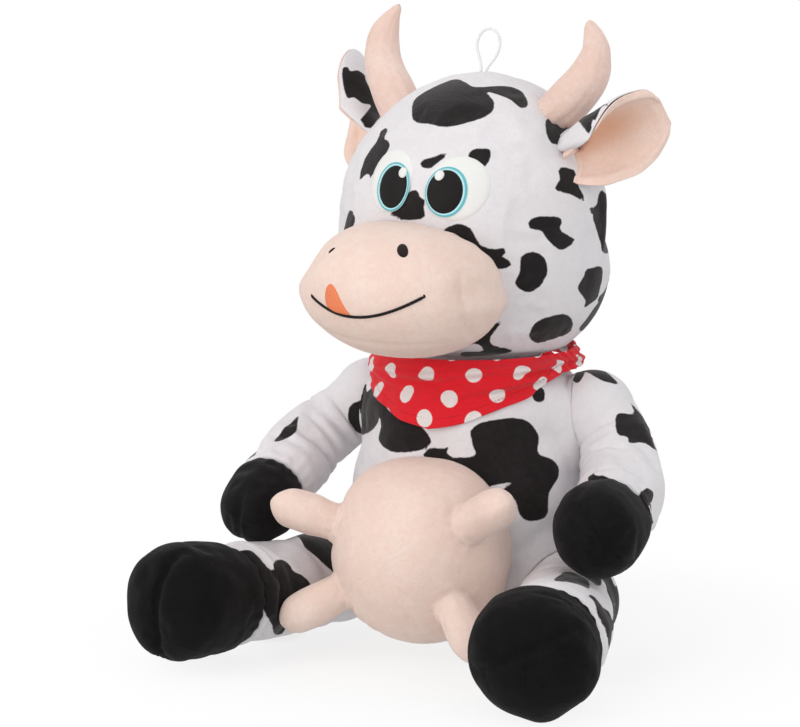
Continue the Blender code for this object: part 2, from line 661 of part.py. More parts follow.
TEAT_RADII = ((0, 13.5), (20, 13.7), (36, 13.4), (43, 12.0), (48, 8.2), (50.5, 3.8), (51, 0))
for name, direction in TEATS.items():
    direction = Vector(direction).normalized()
    root = Vector(UDDER_CENTRE) + direction * 55.0
    path = smooth_path([root, root + direction * 26, root + direction * 60], 3)
    upright = Vector((0, 0, 1))
    rings = [ring(root - direction * (TEAT_BALL * math.cos(math.radians(a))), direction, upright, TEAT_BALL * math.sin(math.radians(a)), 10) for a in (20, 50, 80)]
    stations = (5.0, 34, 43, 48.5)
    rings += [ring(root + direction * s, direction, upright, table(TEAT_RADII, s), 10) for s in stations]
    skin = put(name.replace("teat", "teat_skin"), loft([*rings, [root + direction * 51.0]], "open", "pole"), ("pink_plush", PINK, 0.9))
    solidify(skin, 1.2)
    fill = [ring(root + direction * s, direction, upright, table(TEAT_RADII, max(s, 0)) - shrink, 10) for s, shrink in ((-8, 4.4), (0, 2.0), (34, 2.0), (43, 2.6))]
    put(name.replace("teat", "teat_filling"), loft(fill), ("fibre", FIBRE, 1.0))


# ---------------------------------------------------------------- bandana
BANDANA_EDGE = ((0, 151), (15, 155), (30, 163), (50, 172), (75, 186), (115, 189.5), (180, 190))   # degrees from the front, height of the lower edge


def bandana():
    columns, bm = 36, bmesh.new()
    rows = []
    for share in (0.0, 0.22, 0.5, 0.75, 1.0):
        row = []
        for i in range(columns):
            turn = -180 + 360 * i / columns
            low = table(BANDANA_EDGE, abs(turn))
            top = 200.0 - 3.0 * math.cos(math.radians(turn))
            z = top + (low - top) * share
            body = table(TORSO_PROFILE, min(z, 189))
            r = max(body + 3.6, 76.5 - 4.5 * max(0.0, (z - 192) / 8))
            row.append(bm.verts.new((r * math.sin(math.radians(turn)), -r * (TORSO_DEPTH + 0.02) * math.cos(math.radians(turn)), z)))
        rows.append(row)
    for a, b in zip(rows, rows[1:]):
        for i in range(columns):
            j = (i + 1) % columns
            bm.faces.new((a[i], b[i], b[j], a[j]))
    bm.normal_update()
    if sum(face.normal.dot(Vector((face.calc_center_median().x, face.calc_center_median().y, 0))) for face in bm.faces) < 0:
        bmesh.ops.reverse_faces(bm, faces=bm.faces)
    return solidify(put("bandana", bm, ("red_cotton", RED, 0.8)), 1.8)


bandana()


def bandana_knot():
    """The knot behind the neck with its two short ends."""
    bm = bmesh.new()
    bmesh.ops.create_uvsphere(bm, u_segments=12, v_segments=8, radius=1.0)
    bmesh.ops.scale(bm, vec=(11, 6, 8), verts=bm.verts)
    knot = put("bandana_knot", bm, ("red_cotton", RED, 0.8))
    knot.location = Vector((0, 82.5, 194)) * MM
    for sign in (-1, 1):
        rings = []
        for t, half, thick in ((0, 4, 1.6), (0.4, 8, 1.4), (0.8, 7.5, 1.3), (1.0, 3, 1.2)):
            centre = Vector((sign * (4 + 26 * t), 2.0 + 4 * t, -4 - 17 * t))
            side = Vector((0.55 * sign, 0, 0.83)).normalized()
            out = Vector((0, 1, 0))
            rings.append([centre + side * half + out * thick, centre - side * half + out * thick, centre - side * half - out * thick, centre + side * half - out * thick])
        tail = put(f"knot_end_{sign}", loft(rings), cutter=True, parent=knot)
        joined = knot.modifiers.new("end", "BOOLEAN")
        joined.operation = "UNION"
        joined.solver = "EXACT"
        joined.object = tail


bandana_knot()


# ---------------------------------------------------------------- tail
TAIL_PATH = ((0, 87, 50), (4, 98, 38), (9, 108, 24), (17, 122, 14.5), (27, 138, 12.5), (36, 152, 14), (41, 160, 15))


def tail():
    path = smooth_path(TAIL_PATH, 3)
    total = path[1][-1]
    lean = Vector((1, 0, 0))
    cuff = total - 32
    stations = [2.0 + (cuff - 2.0) * i / 7 for i in range(8)]
    rings = [ring(*at_length(path, s), lean, 6.5, 10) for s in stations]
    put("tail_sleeve", loft(rings), ("printed_plush", WHITE, 0.9))
    rings = [ring(*at_length(path, cuff + s), lean, r, 10) for s, r in ((0.4, 6.5), (6, 9.5), (14, 11.6), (22, 10.5), (28, 6.5))]
    put("tail_tuft", loft([*rings, [at_length(path, total - 1)[0]]], "cap", "pole"), ("black_velvet", (0.012, 0.01, 0.011), 0.8))


tail()
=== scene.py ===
"""Looks of the sitting plush cow: stuffed skins, velvet hooves, embroidery, scarf and cord.

Lengths are in millimetres until a mesh is made. Every soft piece is a dense surface built
from the same measured curves as its stand-in, then shaped by seams, folds and a cloth
relaxation, and the printed cow patches are a signed distance stored on its vertices.
"""

import math

import bpy
import numpy as np
from mathutils import Matrix, Vector
from mathutils.bvhtree import BVHTree


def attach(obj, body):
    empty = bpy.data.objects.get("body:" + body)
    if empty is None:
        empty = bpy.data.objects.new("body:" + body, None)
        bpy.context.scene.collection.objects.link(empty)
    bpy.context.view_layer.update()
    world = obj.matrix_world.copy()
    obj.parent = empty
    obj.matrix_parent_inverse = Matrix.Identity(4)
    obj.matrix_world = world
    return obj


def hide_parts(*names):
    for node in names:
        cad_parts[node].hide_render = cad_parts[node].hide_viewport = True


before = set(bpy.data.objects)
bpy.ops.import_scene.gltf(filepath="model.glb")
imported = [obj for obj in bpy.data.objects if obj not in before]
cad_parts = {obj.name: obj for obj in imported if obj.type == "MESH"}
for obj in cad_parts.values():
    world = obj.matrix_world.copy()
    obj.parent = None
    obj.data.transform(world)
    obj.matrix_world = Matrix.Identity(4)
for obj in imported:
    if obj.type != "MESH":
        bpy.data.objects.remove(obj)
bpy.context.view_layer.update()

MM = 0.001

# ------------------------------------------------------------------ camera
AZ, EL, DISTANCE, FOCAL = math.radians(26.0), math.radians(6.8), 1300.0, 1846.0
RIGHT = np.array([math.cos(AZ), math.sin(AZ), 0.0])
BACK = np.array([math.sin(AZ) * math.cos(EL), -math.cos(AZ) * math.cos(EL), math.sin(EL)])
UP = np.cross(BACK, RIGHT)
TARGET = np.array([-54.0 * math.cos(AZ), -54.0 * math.sin(AZ), 186.6])
EYE = TARGET + BACK * DISTANCE

camera_data = bpy.data.cameras.new("camera")
camera = bpy.data.objects.new("camera", camera_data)
bpy.context.scene.collection.objects.link(camera)
camera_data.sensor_fit = "HORIZONTAL"
camera_data.sensor_width = 36.0
camera_data.lens = FOCAL / 800 * 36.0
camera_data.clip_start, camera_data.clip_end = 0.05, 30.0
turned = Matrix([[RIGHT[i], UP[i], BACK[i]] for i in range(3)]).to_4x4()
camera.matrix_world = Matrix.Translation(Vector(EYE * MM)) @ turned
bpy.context.scene.camera = camera


def pixel_direction(px, py):
    """Direction from the camera through a point of the 800 by 727 picture."""
    v = RIGHT * (px - 400) / FOCAL - UP * (py - 363.5) / FOCAL - BACK
    return v / np.linalg.norm(v)


# ------------------------------------------------------------------ numbers shared with the construction
HEAD_CENTRE = np.array([1.5, -2.0, 291.0])
HEAD_R, HEAD_H = 95.5, 97.0
HEAD_TOP_POWER, HEAD_LOW_POWER = 2.0, 3.0
NECK = np.array([0.0, 0.0, 195.0])
MUZZLE_CENTRE = np.array([-2.5, -97.5, -41.0])
MUZZLE_HALF = np.array([67.5, 66.0, 44.5])
MUZZLE_POWER = 2.05
TORSO_DEPTH = 0.96
TORSO_PROFILE = ((0, 58), (5, 69), (16, 78.5), (36, 84.5), (64, 87.5), (95, 87), (120, 83), (138, 79.2), (154, 77.5), (170, 74), (181, 67), (187.5, 56), (190, 46))
SHOULDER, SHOULDER_BALL = np.array([85.0, 6.0, 157.0]), 29.0
HIP, HIP_BALL = np.array([88.0, -46.0, 36.0]), 34.0
UDDER_CENTRE, UDDER_HALF = np.array([-0.5, -89.0, 71.0]), np.array([59.5, 60.0, 62.0])
TEAT_BALL = 14.2
TEATS = {
    "teat_upper_left": (0.78, -0.45, 0.45), "teat_upper_right": (-0.81, -0.45, 0.31),
    "teat_lower_left": (0.632, -0.54, -0.46), "teat_lower_right": (-0.66, -0.54, -0.40),
}
ARM_PATH = {
    "left": ((85, 6, 157), (103, 0, 139.2), (115.5, -20, 117), (123.5, -56, 102.2), (128, -91, 97), (129, -126, 96)),
    "right": ((-85, 6, 157), (-105, -2, 143), (-121, -22, 125), (-126.5, -56, 106), (-125.5, -88, 92), (-123.5, -121, 77)),
}
LEG_PATH = {
    "left": ((88, -46, 36), (100, -90, 35), (111.5, -135, 36.5), (122, -186, 41), (128, -225, 42)),
    "right": ((-88, -46, 36), (-100, -90, 36), (-111.5, -135, 38.5), (-122.5, -186, 44.5), (-129, -225, 48.5)),
}
ARM_CUFF, LEG_CUFF = 111.0, 104.0
HORN_PATH = {
    "left": ((46, -10, 65), (58, -10, 76), (72, -10, 90), (79.5, -8.5, 103), (82, -7, 116.5), (79.5, -5, 125.5), (75.5, -3, 133), (73, -1, 138)),
    "right": ((-55, -10, 60), (-63, -10, 73.5), (-68, -10, 82), (-74.5, -9, 92), (-79, -7.5, 103), (-80, -5.5, 117), (-77, -3, 129), (-73.5, -1, 137), (-71.7, 0, 141.4)),
}
LOOP_POINTS = ((-7.0, 1.6), (-7.4, 6.5), (-9.4, 12), (-11.4, 18.5), (-10.2, 25), (-6.5, 29.6), (-1.5, 30.9), (3, 28.6), (6, 23), (5.2, 16), (2.4, 10.5), (-1.4, 5.5), (-3.2, 1.6))
TAIL_PATH = ((0, 87, 50), (4, 98, 38), (9, 108, 24), (17, 122, 14.5), (27, 138, 12.5), (36, 152, 14), (41, 160, 15))


def turn_matrix(axis, degrees):
    return np.array(Matrix.Rotation(math.radians(degrees), 3, axis))


HEAD_TURNED = turn_matrix("Z", -3.2) @ turn_matrix("X", 2.3) @ turn_matrix("Y", 5.0)


def from_head(points):
    return np.asarray(points, float) @ HEAD_TURNED.T + HEAD_CENTRE


def to_head(points):
    return (np.asarray(points, float) - HEAD_CENTRE) @ HEAD_TURNED


# ------------------------------------------------------------------ numeric helpers
def unit(v):
    v = np.asarray(v, float)
    return v / np.maximum(np.linalg.norm(v, axis=-1, keepdims=True), 1e-12)


def smooth(x, low, high):
    t = np.clip((np.asarray(x, float) - low) / (high - low), 0, 1)
    return t * t * (3 - 2 * t)


def bump(x, centre, width):
    return np.exp(-(((np.asarray(x, float) - centre) / width) ** 2))


def curve_through(xs, ys, at):
    """A monotone cubic through the rows of a table."""
    xs, ys, at = np.asarray(xs, float), np.asarray(ys, float), np.asarray(at, float)
    h, d = np.diff(xs), np.diff(ys) / np.diff(xs)
    m = np.zeros_like(ys)
    same = d[:-1] * d[1:] > 0
    m[1:-1][same] = 2 * d[:-1][same] * d[1:][same] / (d[:-1][same] + d[1:][same])
    m[0], m[-1] = d[0], d[-1]
    i = np.clip(np.searchsorted(xs, at) - 1, 0, len(h) - 1)
    t = np.clip((at - xs[i]) / h[i], 0, 1)
    return (2 * t**3 - 3 * t**2 + 1) * ys[i] + (t**3 - 2 * t**2 + t) * h[i] * m[i] + (3 * t**2 - 2 * t**3) * ys[i + 1] + (t**3 - t**2) * h[i] * m[i + 1]


def path_through(points):
    """A dense smooth curve through the points, with its running length."""
    p = np.asarray(points, float)
    p = np.vstack([2 * p[0] - p[1], p, 2 * p[-1] - p[-2]])
    dense = []
    for i in range(1, len(p) - 2):
        a, b, c, d = p[i - 1 : i + 3]
        for t in np.arange(24) / 24:
            dense.append(0.5 * (2 * b + (c - a) * t + (2 * a - 5 * b + 4 * c - d) * t * t + (3 * b - a - 3 * c + d) * t**3))
    dense.append(p[-2])
    dense = np.array(dense)
    return dense, np.concatenate([[0], np.cumsum(np.linalg.norm(np.diff(dense, axis=0), axis=1))])


def along(path, s):
    """Points and directions of a path at lengths s. Before its start it runs on straight."""
    dense, lengths = path
    s = np.atleast_1d(np.asarray(s, float))
    at = np.stack([np.interp(s, lengths, dense[:, k]) for k in range(3)], -1)
    low = np.stack([np.interp(np.clip(s - 4, 0, lengths[-1] - 8), lengths, dense[:, k]) for k in range(3)], -1)
    high = np.stack([np.interp(np.clip(s + 4, 8, lengths[-1]), lengths, dense[:, k]) for k in range(3)], -1)
    direction = unit(high - low)
    at = at + direction * np.minimum(s, 0)[:, None] + direction * np.maximum(s - lengths[-1], 0)[:, None]
    return at, direction


def waves(points, size, seed, count=14):
    """Smooth uneven values about 1 high that change over the given size, the same on every run."""
    made = np.random.RandomState(seed)
    total = np.zeros(len(points))
    for _ in range(count):
        direction = unit(made.normal(size=3))
        total += np.sin(points @ direction * (2 * math.pi / (size * made.uniform(0.75, 1.5))) + made.uniform(0, 2 * math.pi))
    return total / math.sqrt(count)


# ------------------------------------------------------------------ mesh helpers
def grid_faces(n, m, wrap=True):
    i = np.arange(n - 1)[:, None] * m
    j = np.arange(m if wrap else m - 1)[None]
    k = (j + 1) % m
    return np.stack([i + j, i + k, i + m + k, i + m + j], -1).reshape(-1, 4)


class Skin:
    """Points, faces and vertex values of one surface, in millimetres."""

    def __init__(self, points, faces):
        self.points = np.asarray(points, float)
        self.faces = [tuple(int(v) for v in f) for f in faces]
        self.values = {}
        if self.volume() < 0:
            self.faces = [f[::-1] for f in self.faces]

    def corners(self):
        tris = [(f[0], f[k], f[k + 1]) for f in self.faces for k in range(1, len(f) - 1)]
        return np.array(tris)

    def volume(self):
        t = self.points[self.corners()]
        return float(np.einsum("ij,ij->i", t[:, 0], np.cross(t[:, 1], t[:, 2])).sum() / 6)

    def normals(self):
        tri = self.corners()
        t = self.points[tri]
        n = np.cross(t[:, 1] - t[:, 0], t[:, 2] - t[:, 0])
        out = np.zeros_like(self.points)
        for k in range(3):
            np.add.at(out, tri[:, k], n)
        return unit(out)

    def push(self, amount):
        """Moves each vertex along its normal by an amount each."""
        self.points = self.points + self.normals() * np.asarray(amount)[:, None]

    def tree(self):
        return BVHTree.FromPolygons([tuple(p) for p in self.points], self.faces)


def lofted(rings, start=None, end=None):
    """A skin over rings (n, m, 3), closed round, with a pole point at an end or a flat fan."""
    n, m = rings.shape[:2]
    points = [rings.reshape(-1, 3)]
    faces = list(grid_faces(n, m))
    total = n * m
    for row, pole, flip in ((0, start, True), (n - 1, end, False)):
        centre = rings[row].mean(0) if pole is None else np.asarray(pole, float)
        points.append(centre[None])
        for j in range(m):
            a, b = row * m + j, row * m + (j + 1) % m
            faces.append((b, a, total) if flip else (a, b, total))
        total += 1
    return Skin(np.vstack(points), faces)


def slab(grid, thickness, edge_power=6.0, edge_low=0.12):
    """A thin closed pad about a grid (n, m, 3) of its middle surface. Its edges are rounded."""
    n, m = grid.shape[:2]
    du, dv = np.gradient(grid, axis=0), np.gradient(grid, axis=1)
    normal = unit(np.cross(du, dv))
    u, v = np.meshgrid(np.linspace(-1, 1, n), np.linspace(-1, 1, m), indexing="ij")
    half = thickness / 2 * np.sqrt(np.clip((1 - np.abs(u) ** edge_power) * (1 - np.abs(v) ** edge_power), 0, 1))
    half = np.maximum(half, thickness / 2 * edge_low)
    top, low = grid + normal * half[..., None], grid - normal * half[..., None]
    points = np.vstack([top.reshape(-1, 3), low.reshape(-1, 3)])
    faces = [tuple(f) for f in grid_faces(n, m, False)]
    size = n * m
    faces += [tuple(size + k for k in f[::-1]) for f in faces]
    rim = [j for j in range(m)] + [i * m + m - 1 for i in range(1, n)] + [(n - 1) * m + j for j in range(m - 2, -1, -1)] + [i * m for i in range(n - 2, 0, -1)]
    for a, b in zip(rim, rim[1:] + rim[:1]):
        faces.append((b, a, size + a, size + b))
    return Skin(points, faces)


def bake_down(name, skin, materials, shade=True, uv=None, face_material=None):
    """Makes the mesh object of a skin, with its vertex values and flat coordinates."""
    mesh = bpy.data.meshes.new(name)
    mesh.from_pydata([tuple(p) for p in skin.points * MM], [], skin.faces)
    for key, value in skin.values.items():
        held = mesh.attributes.new(key, "FLOAT", "POINT")
        held.data.foreach_set("value", np.asarray(value, np.float32))
    if uv is not None:
        layer = mesh.uv_layers.new(name="flat")
        index = np.zeros(len(mesh.loops), np.int32)
        mesh.loops.foreach_get("vertex_index", index)
        layer.data.foreach_set("uv", np.asarray(uv, np.float32)[index].ravel())
    for material in materials:
        mesh.materials.append(material)
    if face_material is not None:
        mesh.polygons.foreach_set("material_index", np.asarray(face_material, np.int32))
    if shade:
        mesh.shade_smooth()
    mesh.update()
    obj = bpy.data.objects.new(name, mesh)
    bpy.context.scene.collection.objects.link(obj)
    return obj


def relax_cloth(skin, pinned, pressure=1.2, shrink=-0.02, frames=14, cap=3.0, stiffness=12.0, bending=0.6):
    """Lets a stuffed skin settle as cloth: it swells, its seams (pinned) hold, and slack turns into wrinkles. cap limits how far a point may move, in millimetres."""
    mesh = bpy.data.meshes.new("settling")
    mesh.from_pydata([tuple(p) for p in skin.points * MM], [], skin.faces)
    obj = bpy.data.objects.new("settling", mesh)
    bpy.context.scene.collection.objects.link(obj)
    group = obj.vertex_groups.new(name="seams")
    for index, weight in enumerate(pinned):
        if weight > 0.001:
            group.add([index], float(min(weight, 1.0)), "REPLACE")
    made = obj.modifiers.new("cloth", "CLOTH")
    settings = made.settings
    settings.quality = 5
    settings.mass = 0.3
    settings.tension_stiffness = settings.compression_stiffness = stiffness
    settings.shear_stiffness = stiffness * 0.6
    settings.bending_stiffness = bending
    settings.tension_damping = settings.compression_damping = settings.shear_damping = 12
    settings.air_damping = 4
    settings.use_pressure = True
    settings.uniform_pressure_force = pressure
    settings.shrink_min = shrink
    settings.vertex_group_mass = "seams"
    settings.pin_stiffness = 1.0
    settings.effector_weights.gravity = 0.0
    made.collision_settings.use_collision = False
    made.point_cache.frame_start, made.point_cache.frame_end = 1, frames
    scene = bpy.context.scene
    for step in range(1, frames + 1):
        scene.frame_set(step)
    depsgraph = bpy.context.evaluated_depsgraph_get()
    settled = obj.evaluated_get(depsgraph).to_mesh()
    co = np.zeros(len(settled.vertices) * 3)
    settled.vertices.foreach_get("co", co)
    obj.evaluated_get(depsgraph).to_mesh_clear()
    scene.frame_set(1)
    bpy.data.objects.remove(obj, do_unlink=True)
    bpy.data.meshes.remove(mesh)
    move = co.reshape(-1, 3) / MM - skin.points
    if not np.isfinite(move).all():
        return
    size = np.linalg.norm(move, axis=1, keepdims=True)
    move *= np.minimum(1, cap / np.maximum(size, 1e-9)) ** 1.0
    skin.points = skin.points + move


# ------------------------------------------------------------------ printed patches
def rounded_outline(points, steps=5):
    """A smooth closed line through the points of an outline."""
    p = np.asarray(points, float)
    before, after, last = np.roll(p, 1, axis=0), np.roll(p, -1, axis=0), np.roll(p, -2, axis=0)
    rows = []
    for t in np.arange(steps) / steps:
        rows.append(0.5 * (2 * p + (after - before) * t + (2 * before - 5 * p + 4 * after - last) * t**2 + (3 * p - before - 3 * after + last) * t**3))
    return np.stack(rows, 1).reshape(-1, p.shape[1])


def signed_distance(q, outline):
    """Distance of points q (N, 2) inside an outline (K, 2), negative outside."""
    best = np.full(len(q), 1e9)
    inside = np.zeros(len(q), bool)
    for a, b in zip(outline, np.roll(outline, -1, axis=0)):
        ab = b - a
        t = np.clip(((q - a) @ ab) / max(ab @ ab, 1e-9), 0, 1)
        best = np.minimum(best, np.linalg.norm(q - a - t[:, None] * ab, axis=1))
        if a[1] != b[1]:
            crosses = (a[1] > q[:, 1]) != (b[1] > q[:, 1])
            inside ^= crosses & (q[:, 0] < (b[0] - a[0]) * (q[:, 1] - a[1]) / (b[1] - a[1]) + a[0])
    return np.where(inside, best, -best)


def unrolled(points, centre, e1, e2):
    """Flat coordinates about a point of a curved surface: true direction, straight distance."""
    v = points - centre
    flat = np.stack([v @ e1, v @ e2], -1)
    size = np.linalg.norm(flat, axis=1, keepdims=True)
    return flat / np.maximum(size, 1e-9) * np.linalg.norm(v, axis=1, keepdims=True)


def seen_outline(tree, pixels):
    """Points of a surface under an outline drawn on the picture. A corner beside the surface takes its nearest rim."""
    found = []
    for px, py in pixels:
        direction = pixel_direction(px, py)
        hit = tree.ray_cast(Vector(EYE), Vector(direction))
        if hit[0] is not None:
            found.append(np.array(hit[0]))
            continue
        best = None
        for t in np.linspace(900, 1650, 60):
            near = tree.find_nearest(Vector(EYE + direction * t))
            if near[0] is not None and (best is None or near[3] < best[0]):
                best = (near[3], np.array(near[0]))
        found.append(best[1])
    return np.array(found)


def print_patches(skin, seen=(), blobs=()):
    """Stores the signed distance to the printed patches. seen are outlines in picture pixels; blobs are (point near the surface, radius, seed, stretch) for the sides that the picture does not show."""
    tree, normals = skin.tree(), skin.normals()
    field = np.full(len(skin.points), -8.0)
    jobs = []
    for pixels in seen:
        ring = seen_outline(tree, rounded_outline(pixels))
        jobs.append((ring, None))
    for near, radius, seed, stretch in blobs:
        spot = tree.find_nearest(Vector(near))
        made = np.random.RandomState(seed)
        a = np.linspace(0, 2 * math.pi, 48, endpoint=False)
        r = np.ones(48)
        for k, size in ((2, 0.2), (3, 0.2), (4, 0.12), (5, 0.1), (7, 0.05)):
            r += size * np.sin(k * a + made.uniform(0, 2 * math.pi)) * made.uniform(0.6, 1.2)
        turn = made.uniform(0, math.pi)
        flat = np.stack([r * np.cos(a) * stretch, r * np.sin(a) / stretch], -1) * radius
        flat = flat @ np.array([[math.cos(turn), math.sin(turn)], [-math.sin(turn), math.cos(turn)]])
        jobs.append((np.array(spot[0]), (np.array(spot[1]), flat)))
    for ring, blob in jobs:
        centre = ring if blob else np.array(tree.find_nearest(Vector(ring.mean(0)))[0])
        facing = np.nonzero(normals @ unit(EYE - centre) > 0)[0]
        out = blob[0] if blob else normals[facing[np.argsort(np.linalg.norm(skin.points[facing] - centre, axis=1))[:12]]].mean(0)
        out = unit(out)
        e1 = unit(np.cross(out, [0, 0, 1] if abs(out[2]) < 0.9 else [0, 1, 0]))
        e2 = np.cross(out, e1)
        outline = blob[1] if blob else unrolled(ring, centre, e1, e2)
        reach = np.linalg.norm(outline, axis=1).max() + 9
        near = np.nonzero((np.linalg.norm(skin.points - centre, axis=1) < reach) & (normals @ out > -0.25))[0]
        if len(near):
            field[near] = np.maximum(field[near], np.clip(signed_distance(unrolled(skin.points[near], centre, e1, e2), outline), -8, 8))
    skin.values["print"] = field


# ------------------------------------------------------------------ materials
def node(tree, kind, inputs=None, **settings):
    made = tree.nodes.new(kind)
    for key, value in settings.items():
        setattr(made, key, value)
    for key, value in (inputs or {}).items():
        socket = made.inputs[key]
        if isinstance(value, bpy.types.NodeSocket):
            tree.links.new(value, socket)
        else:
            socket.default_value = value
    return made


def start_material(name, roughness, sheen=0.0, sheen_roughness=0.5, specular=0.3):
    made = bpy.data.materials.new(name)
    made.use_nodes = True
    tree = made.node_tree
    shader = tree.nodes["Principled BSDF"]
    shader.inputs["Roughness"].default_value = roughness
    shader.inputs["Specular IOR Level"].default_value = specular
    shader.inputs["Sheen Weight"].default_value = sheen
    shader.inputs["Sheen Roughness"].default_value = sheen_roughness
    return made, tree, shader


def colour(*rgb):
    return (*rgb, 1.0)


def mixed(tree, factor, a, b):
    made = node(tree, "ShaderNodeMix", data_type="RGBA")
    for socket, value in ((made.inputs[0], factor), (made.inputs[6], a), (made.inputs[7], b)):
        if isinstance(value, bpy.types.NodeSocket):
            tree.links.new(value, socket)
        else:
            socket.default_value = value
    return made.outputs[2]


def maths(tree, operation, a, b=0.0, clamp=False):
    made = node(tree, "ShaderNodeMath", operation=operation, use_clamp=clamp)
    for socket, value in ((made.inputs[0], a), (made.inputs[1], b)):
        if isinstance(value, bpy.types.NodeSocket):
            tree.links.new(value, socket)
        else:
            socket.default_value = value
    return made.outputs[0]


def ranged(tree, value, low, high, to_low=0.0, to_high=1.0):
    return node(tree, "ShaderNodeMapRange", {"Value": value, "From Min": low, "From Max": high, "To Min": to_low, "To Max": to_high}, interpolation_type="SMOOTHSTEP").outputs[0]


def pile_fabric(name, base, shade, sheen=0.25, fine=1500.0, nap=210.0, depth=0.0007, printed=None, spread=(0.38, 0.66), crush=0.5, roughness=0.95, hollow=None):
    """Short-pile fabric: fibres, brushed streaks, broad unevenness, the print where there is one, and painted shade in
    a hollow where there is one.
    """
    made, tree, shader = start_material(name, roughness, sheen, 0.45, 0.15)
    place = node(tree, "ShaderNodeTexCoord").outputs["Object"]
    fibres = node(tree, "ShaderNodeTexNoise", {"Vector": place, "Scale": fine, "Detail": 2.0, "Roughness": 0.65}).outputs[0]
    streaks = node(tree, "ShaderNodeTexNoise", {"Vector": place, "Scale": nap, "Detail": 4.0, "Roughness": 0.62, "Distortion": crush}).outputs[0]
    broad = node(tree, "ShaderNodeTexNoise", {"Vector": place, "Scale": 38.0, "Detail": 2.0, "Roughness": 0.5}).outputs[0]
    uneven = maths(tree, "ADD", maths(tree, "MULTIPLY", streaks, 0.6), maths(tree, "MULTIPLY", broad, 0.4))
    surface = mixed(tree, ranged(tree, uneven, *spread), colour(*shade), colour(*base))
    surface = mixed(tree, ranged(tree, fibres, 0.3, 0.7, 0.16, 0.0), surface, colour(*[c * 0.55 for c in shade]))
    if printed:
        held = node(tree, "ShaderNodeAttribute", attribute_name="print").outputs["Fac"]
        ragged = maths(tree, "ADD", held, maths(tree, "MULTIPLY", maths(tree, "SUBTRACT", streaks, 0.5), 1.5))
        ragged = maths(tree, "ADD", ragged, maths(tree, "MULTIPLY", maths(tree, "SUBTRACT", fibres, 0.5), 1.0))
        ink = mixed(tree, ranged(tree, uneven, *spread), colour(*[c * 0.8 for c in printed]), colour(*[c * 1.25 for c in printed]))
        surface = mixed(tree, ranged(tree, ragged, -0.5, 0.5), surface, ink)
    # painted shade: where the hollow values are high the colour turns deep orange, standing for the shade inside a
    # cupped ear
    if hollow:
        deep = node(tree, "ShaderNodeAttribute", attribute_name="hollow").outputs["Fac"]
        surface = mixed(tree, deep, surface, colour(*hollow))
    tree.links.new(surface, shader.inputs["Base Color"])
    height = maths(tree, "ADD", maths(tree, "MULTIPLY", fibres, 0.45), maths(tree, "MULTIPLY", streaks, 0.9))
    bumped = node(tree, "ShaderNodeBump", {"Height": height, "Strength": 0.75, "Distance": depth})
    tree.links.new(bumped.outputs[0], shader.inputs["Normal"])
    return made


def satin(name, base, shade, pitch=0.5, across=True, roughness=0.5, specular=0.35, contrast=0.55):
    """Satin stitch: threads side by side over the flat coordinates, each a little different."""
    made, tree, shader = start_material(name, roughness, 0.1, 0.3, specular)
    flat = node(tree, "ShaderNodeUVMap", uv_map="flat").outputs[0]
    wobble = node(tree, "ShaderNodeTexNoise", {"Vector": flat, "Scale": 0.35, "Detail": 2.0}).outputs[0]
    parts = node(tree, "ShaderNodeSeparateXYZ", {"Vector": flat})
    run = parts.outputs["Y" if across else "X"]
    run = maths(tree, "ADD", run, maths(tree, "MULTIPLY", wobble, 0.5))
    threads = maths(tree, "ABSOLUTE", maths(tree, "SINE", maths(tree, "MULTIPLY", run, math.pi / pitch)))
    stretched = node(tree, "ShaderNodeMapping", {"Vector": flat, "Scale": (0.12, 1.0 / pitch, 1.0) if across else (1.0 / pitch, 0.12, 1.0)}).outputs[0]
    each = node(tree, "ShaderNodeTexNoise", {"Vector": stretched, "Scale": 1.0, "Detail": 1.0}).outputs[0]
    dark = ranged(tree, threads, 0.0, 0.7, contrast, 0.0)
    surface = mixed(tree, ranged(tree, each, 0.3, 0.7), colour(*shade), colour(*base))
    surface = mixed(tree, dark, surface, colour(*[c * 0.6 for c in shade]))
    tree.links.new(surface, shader.inputs["Base Color"])
    bumped = node(tree, "ShaderNodeBump", {"Height": maths(tree, "ADD", threads, maths(tree, "MULTIPLY", each, 0.6)), "Strength": 0.5, "Distance": 0.0002})
    tree.links.new(bumped.outputs[0], shader.inputs["Normal"])
    return made


INK = (0.016, 0.013, 0.0138)
white_plush = pile_fabric("printed_plush", (0.795, 0.775, 0.80), (0.765, 0.742, 0.768), printed=INK)
pink_plush = pile_fabric("pink_plush", (0.86, 0.695, 0.62), (0.83, 0.635, 0.555))
horn_plush = pile_fabric("pink_plush_horn", (0.85, 0.67, 0.60), (0.81, 0.59, 0.51))
# the lining's hollow colour is painted shade for the inside of the cupped ear
lining_plush = pile_fabric("pink_plush_lining", (0.90, 0.71, 0.63), (0.87, 0.65, 0.555), hollow=(0.76, 0.40, 0.24))
velvet = pile_fabric("black_velvet", (0.0090, 0.0082, 0.0088), (0.0030, 0.0027, 0.0030), sheen=0.085, fine=1100.0, nap=62.0, depth=0.0014, spread=(0.34, 0.70), crush=1.1, roughness=0.85)
# a darker copy of the black velvet for the hind hooves: painted shade, darkened against the bounce light the floor
# throws on them
painted_shade_velvet = pile_fabric("black_velvet_painted_shade", (0.0048, 0.0043, 0.0047), (0.0018, 0.0016, 0.0018), sheen=0.05, fine=1100.0, nap=62.0, depth=0.0014, spread=(0.34, 0.70), crush=1.1, roughness=0.85)
satin_white = satin("white_satin_stitch", (0.86, 0.865, 0.85), (0.83, 0.835, 0.82), contrast=0.22)
satin_black = satin("black_satin_stitch", (0.010, 0.0075, 0.008), (0.0065, 0.005, 0.005), specular=0.2)
satin_brown = satin("brown_satin_stitch", (0.020, 0.011, 0.009), (0.014, 0.008, 0.006), specular=0.15)
satin_orange = satin("orange_satin_stitch", (0.86, 0.245, 0.105), (0.82, 0.215, 0.085), pitch=0.55, contrast=0.3)


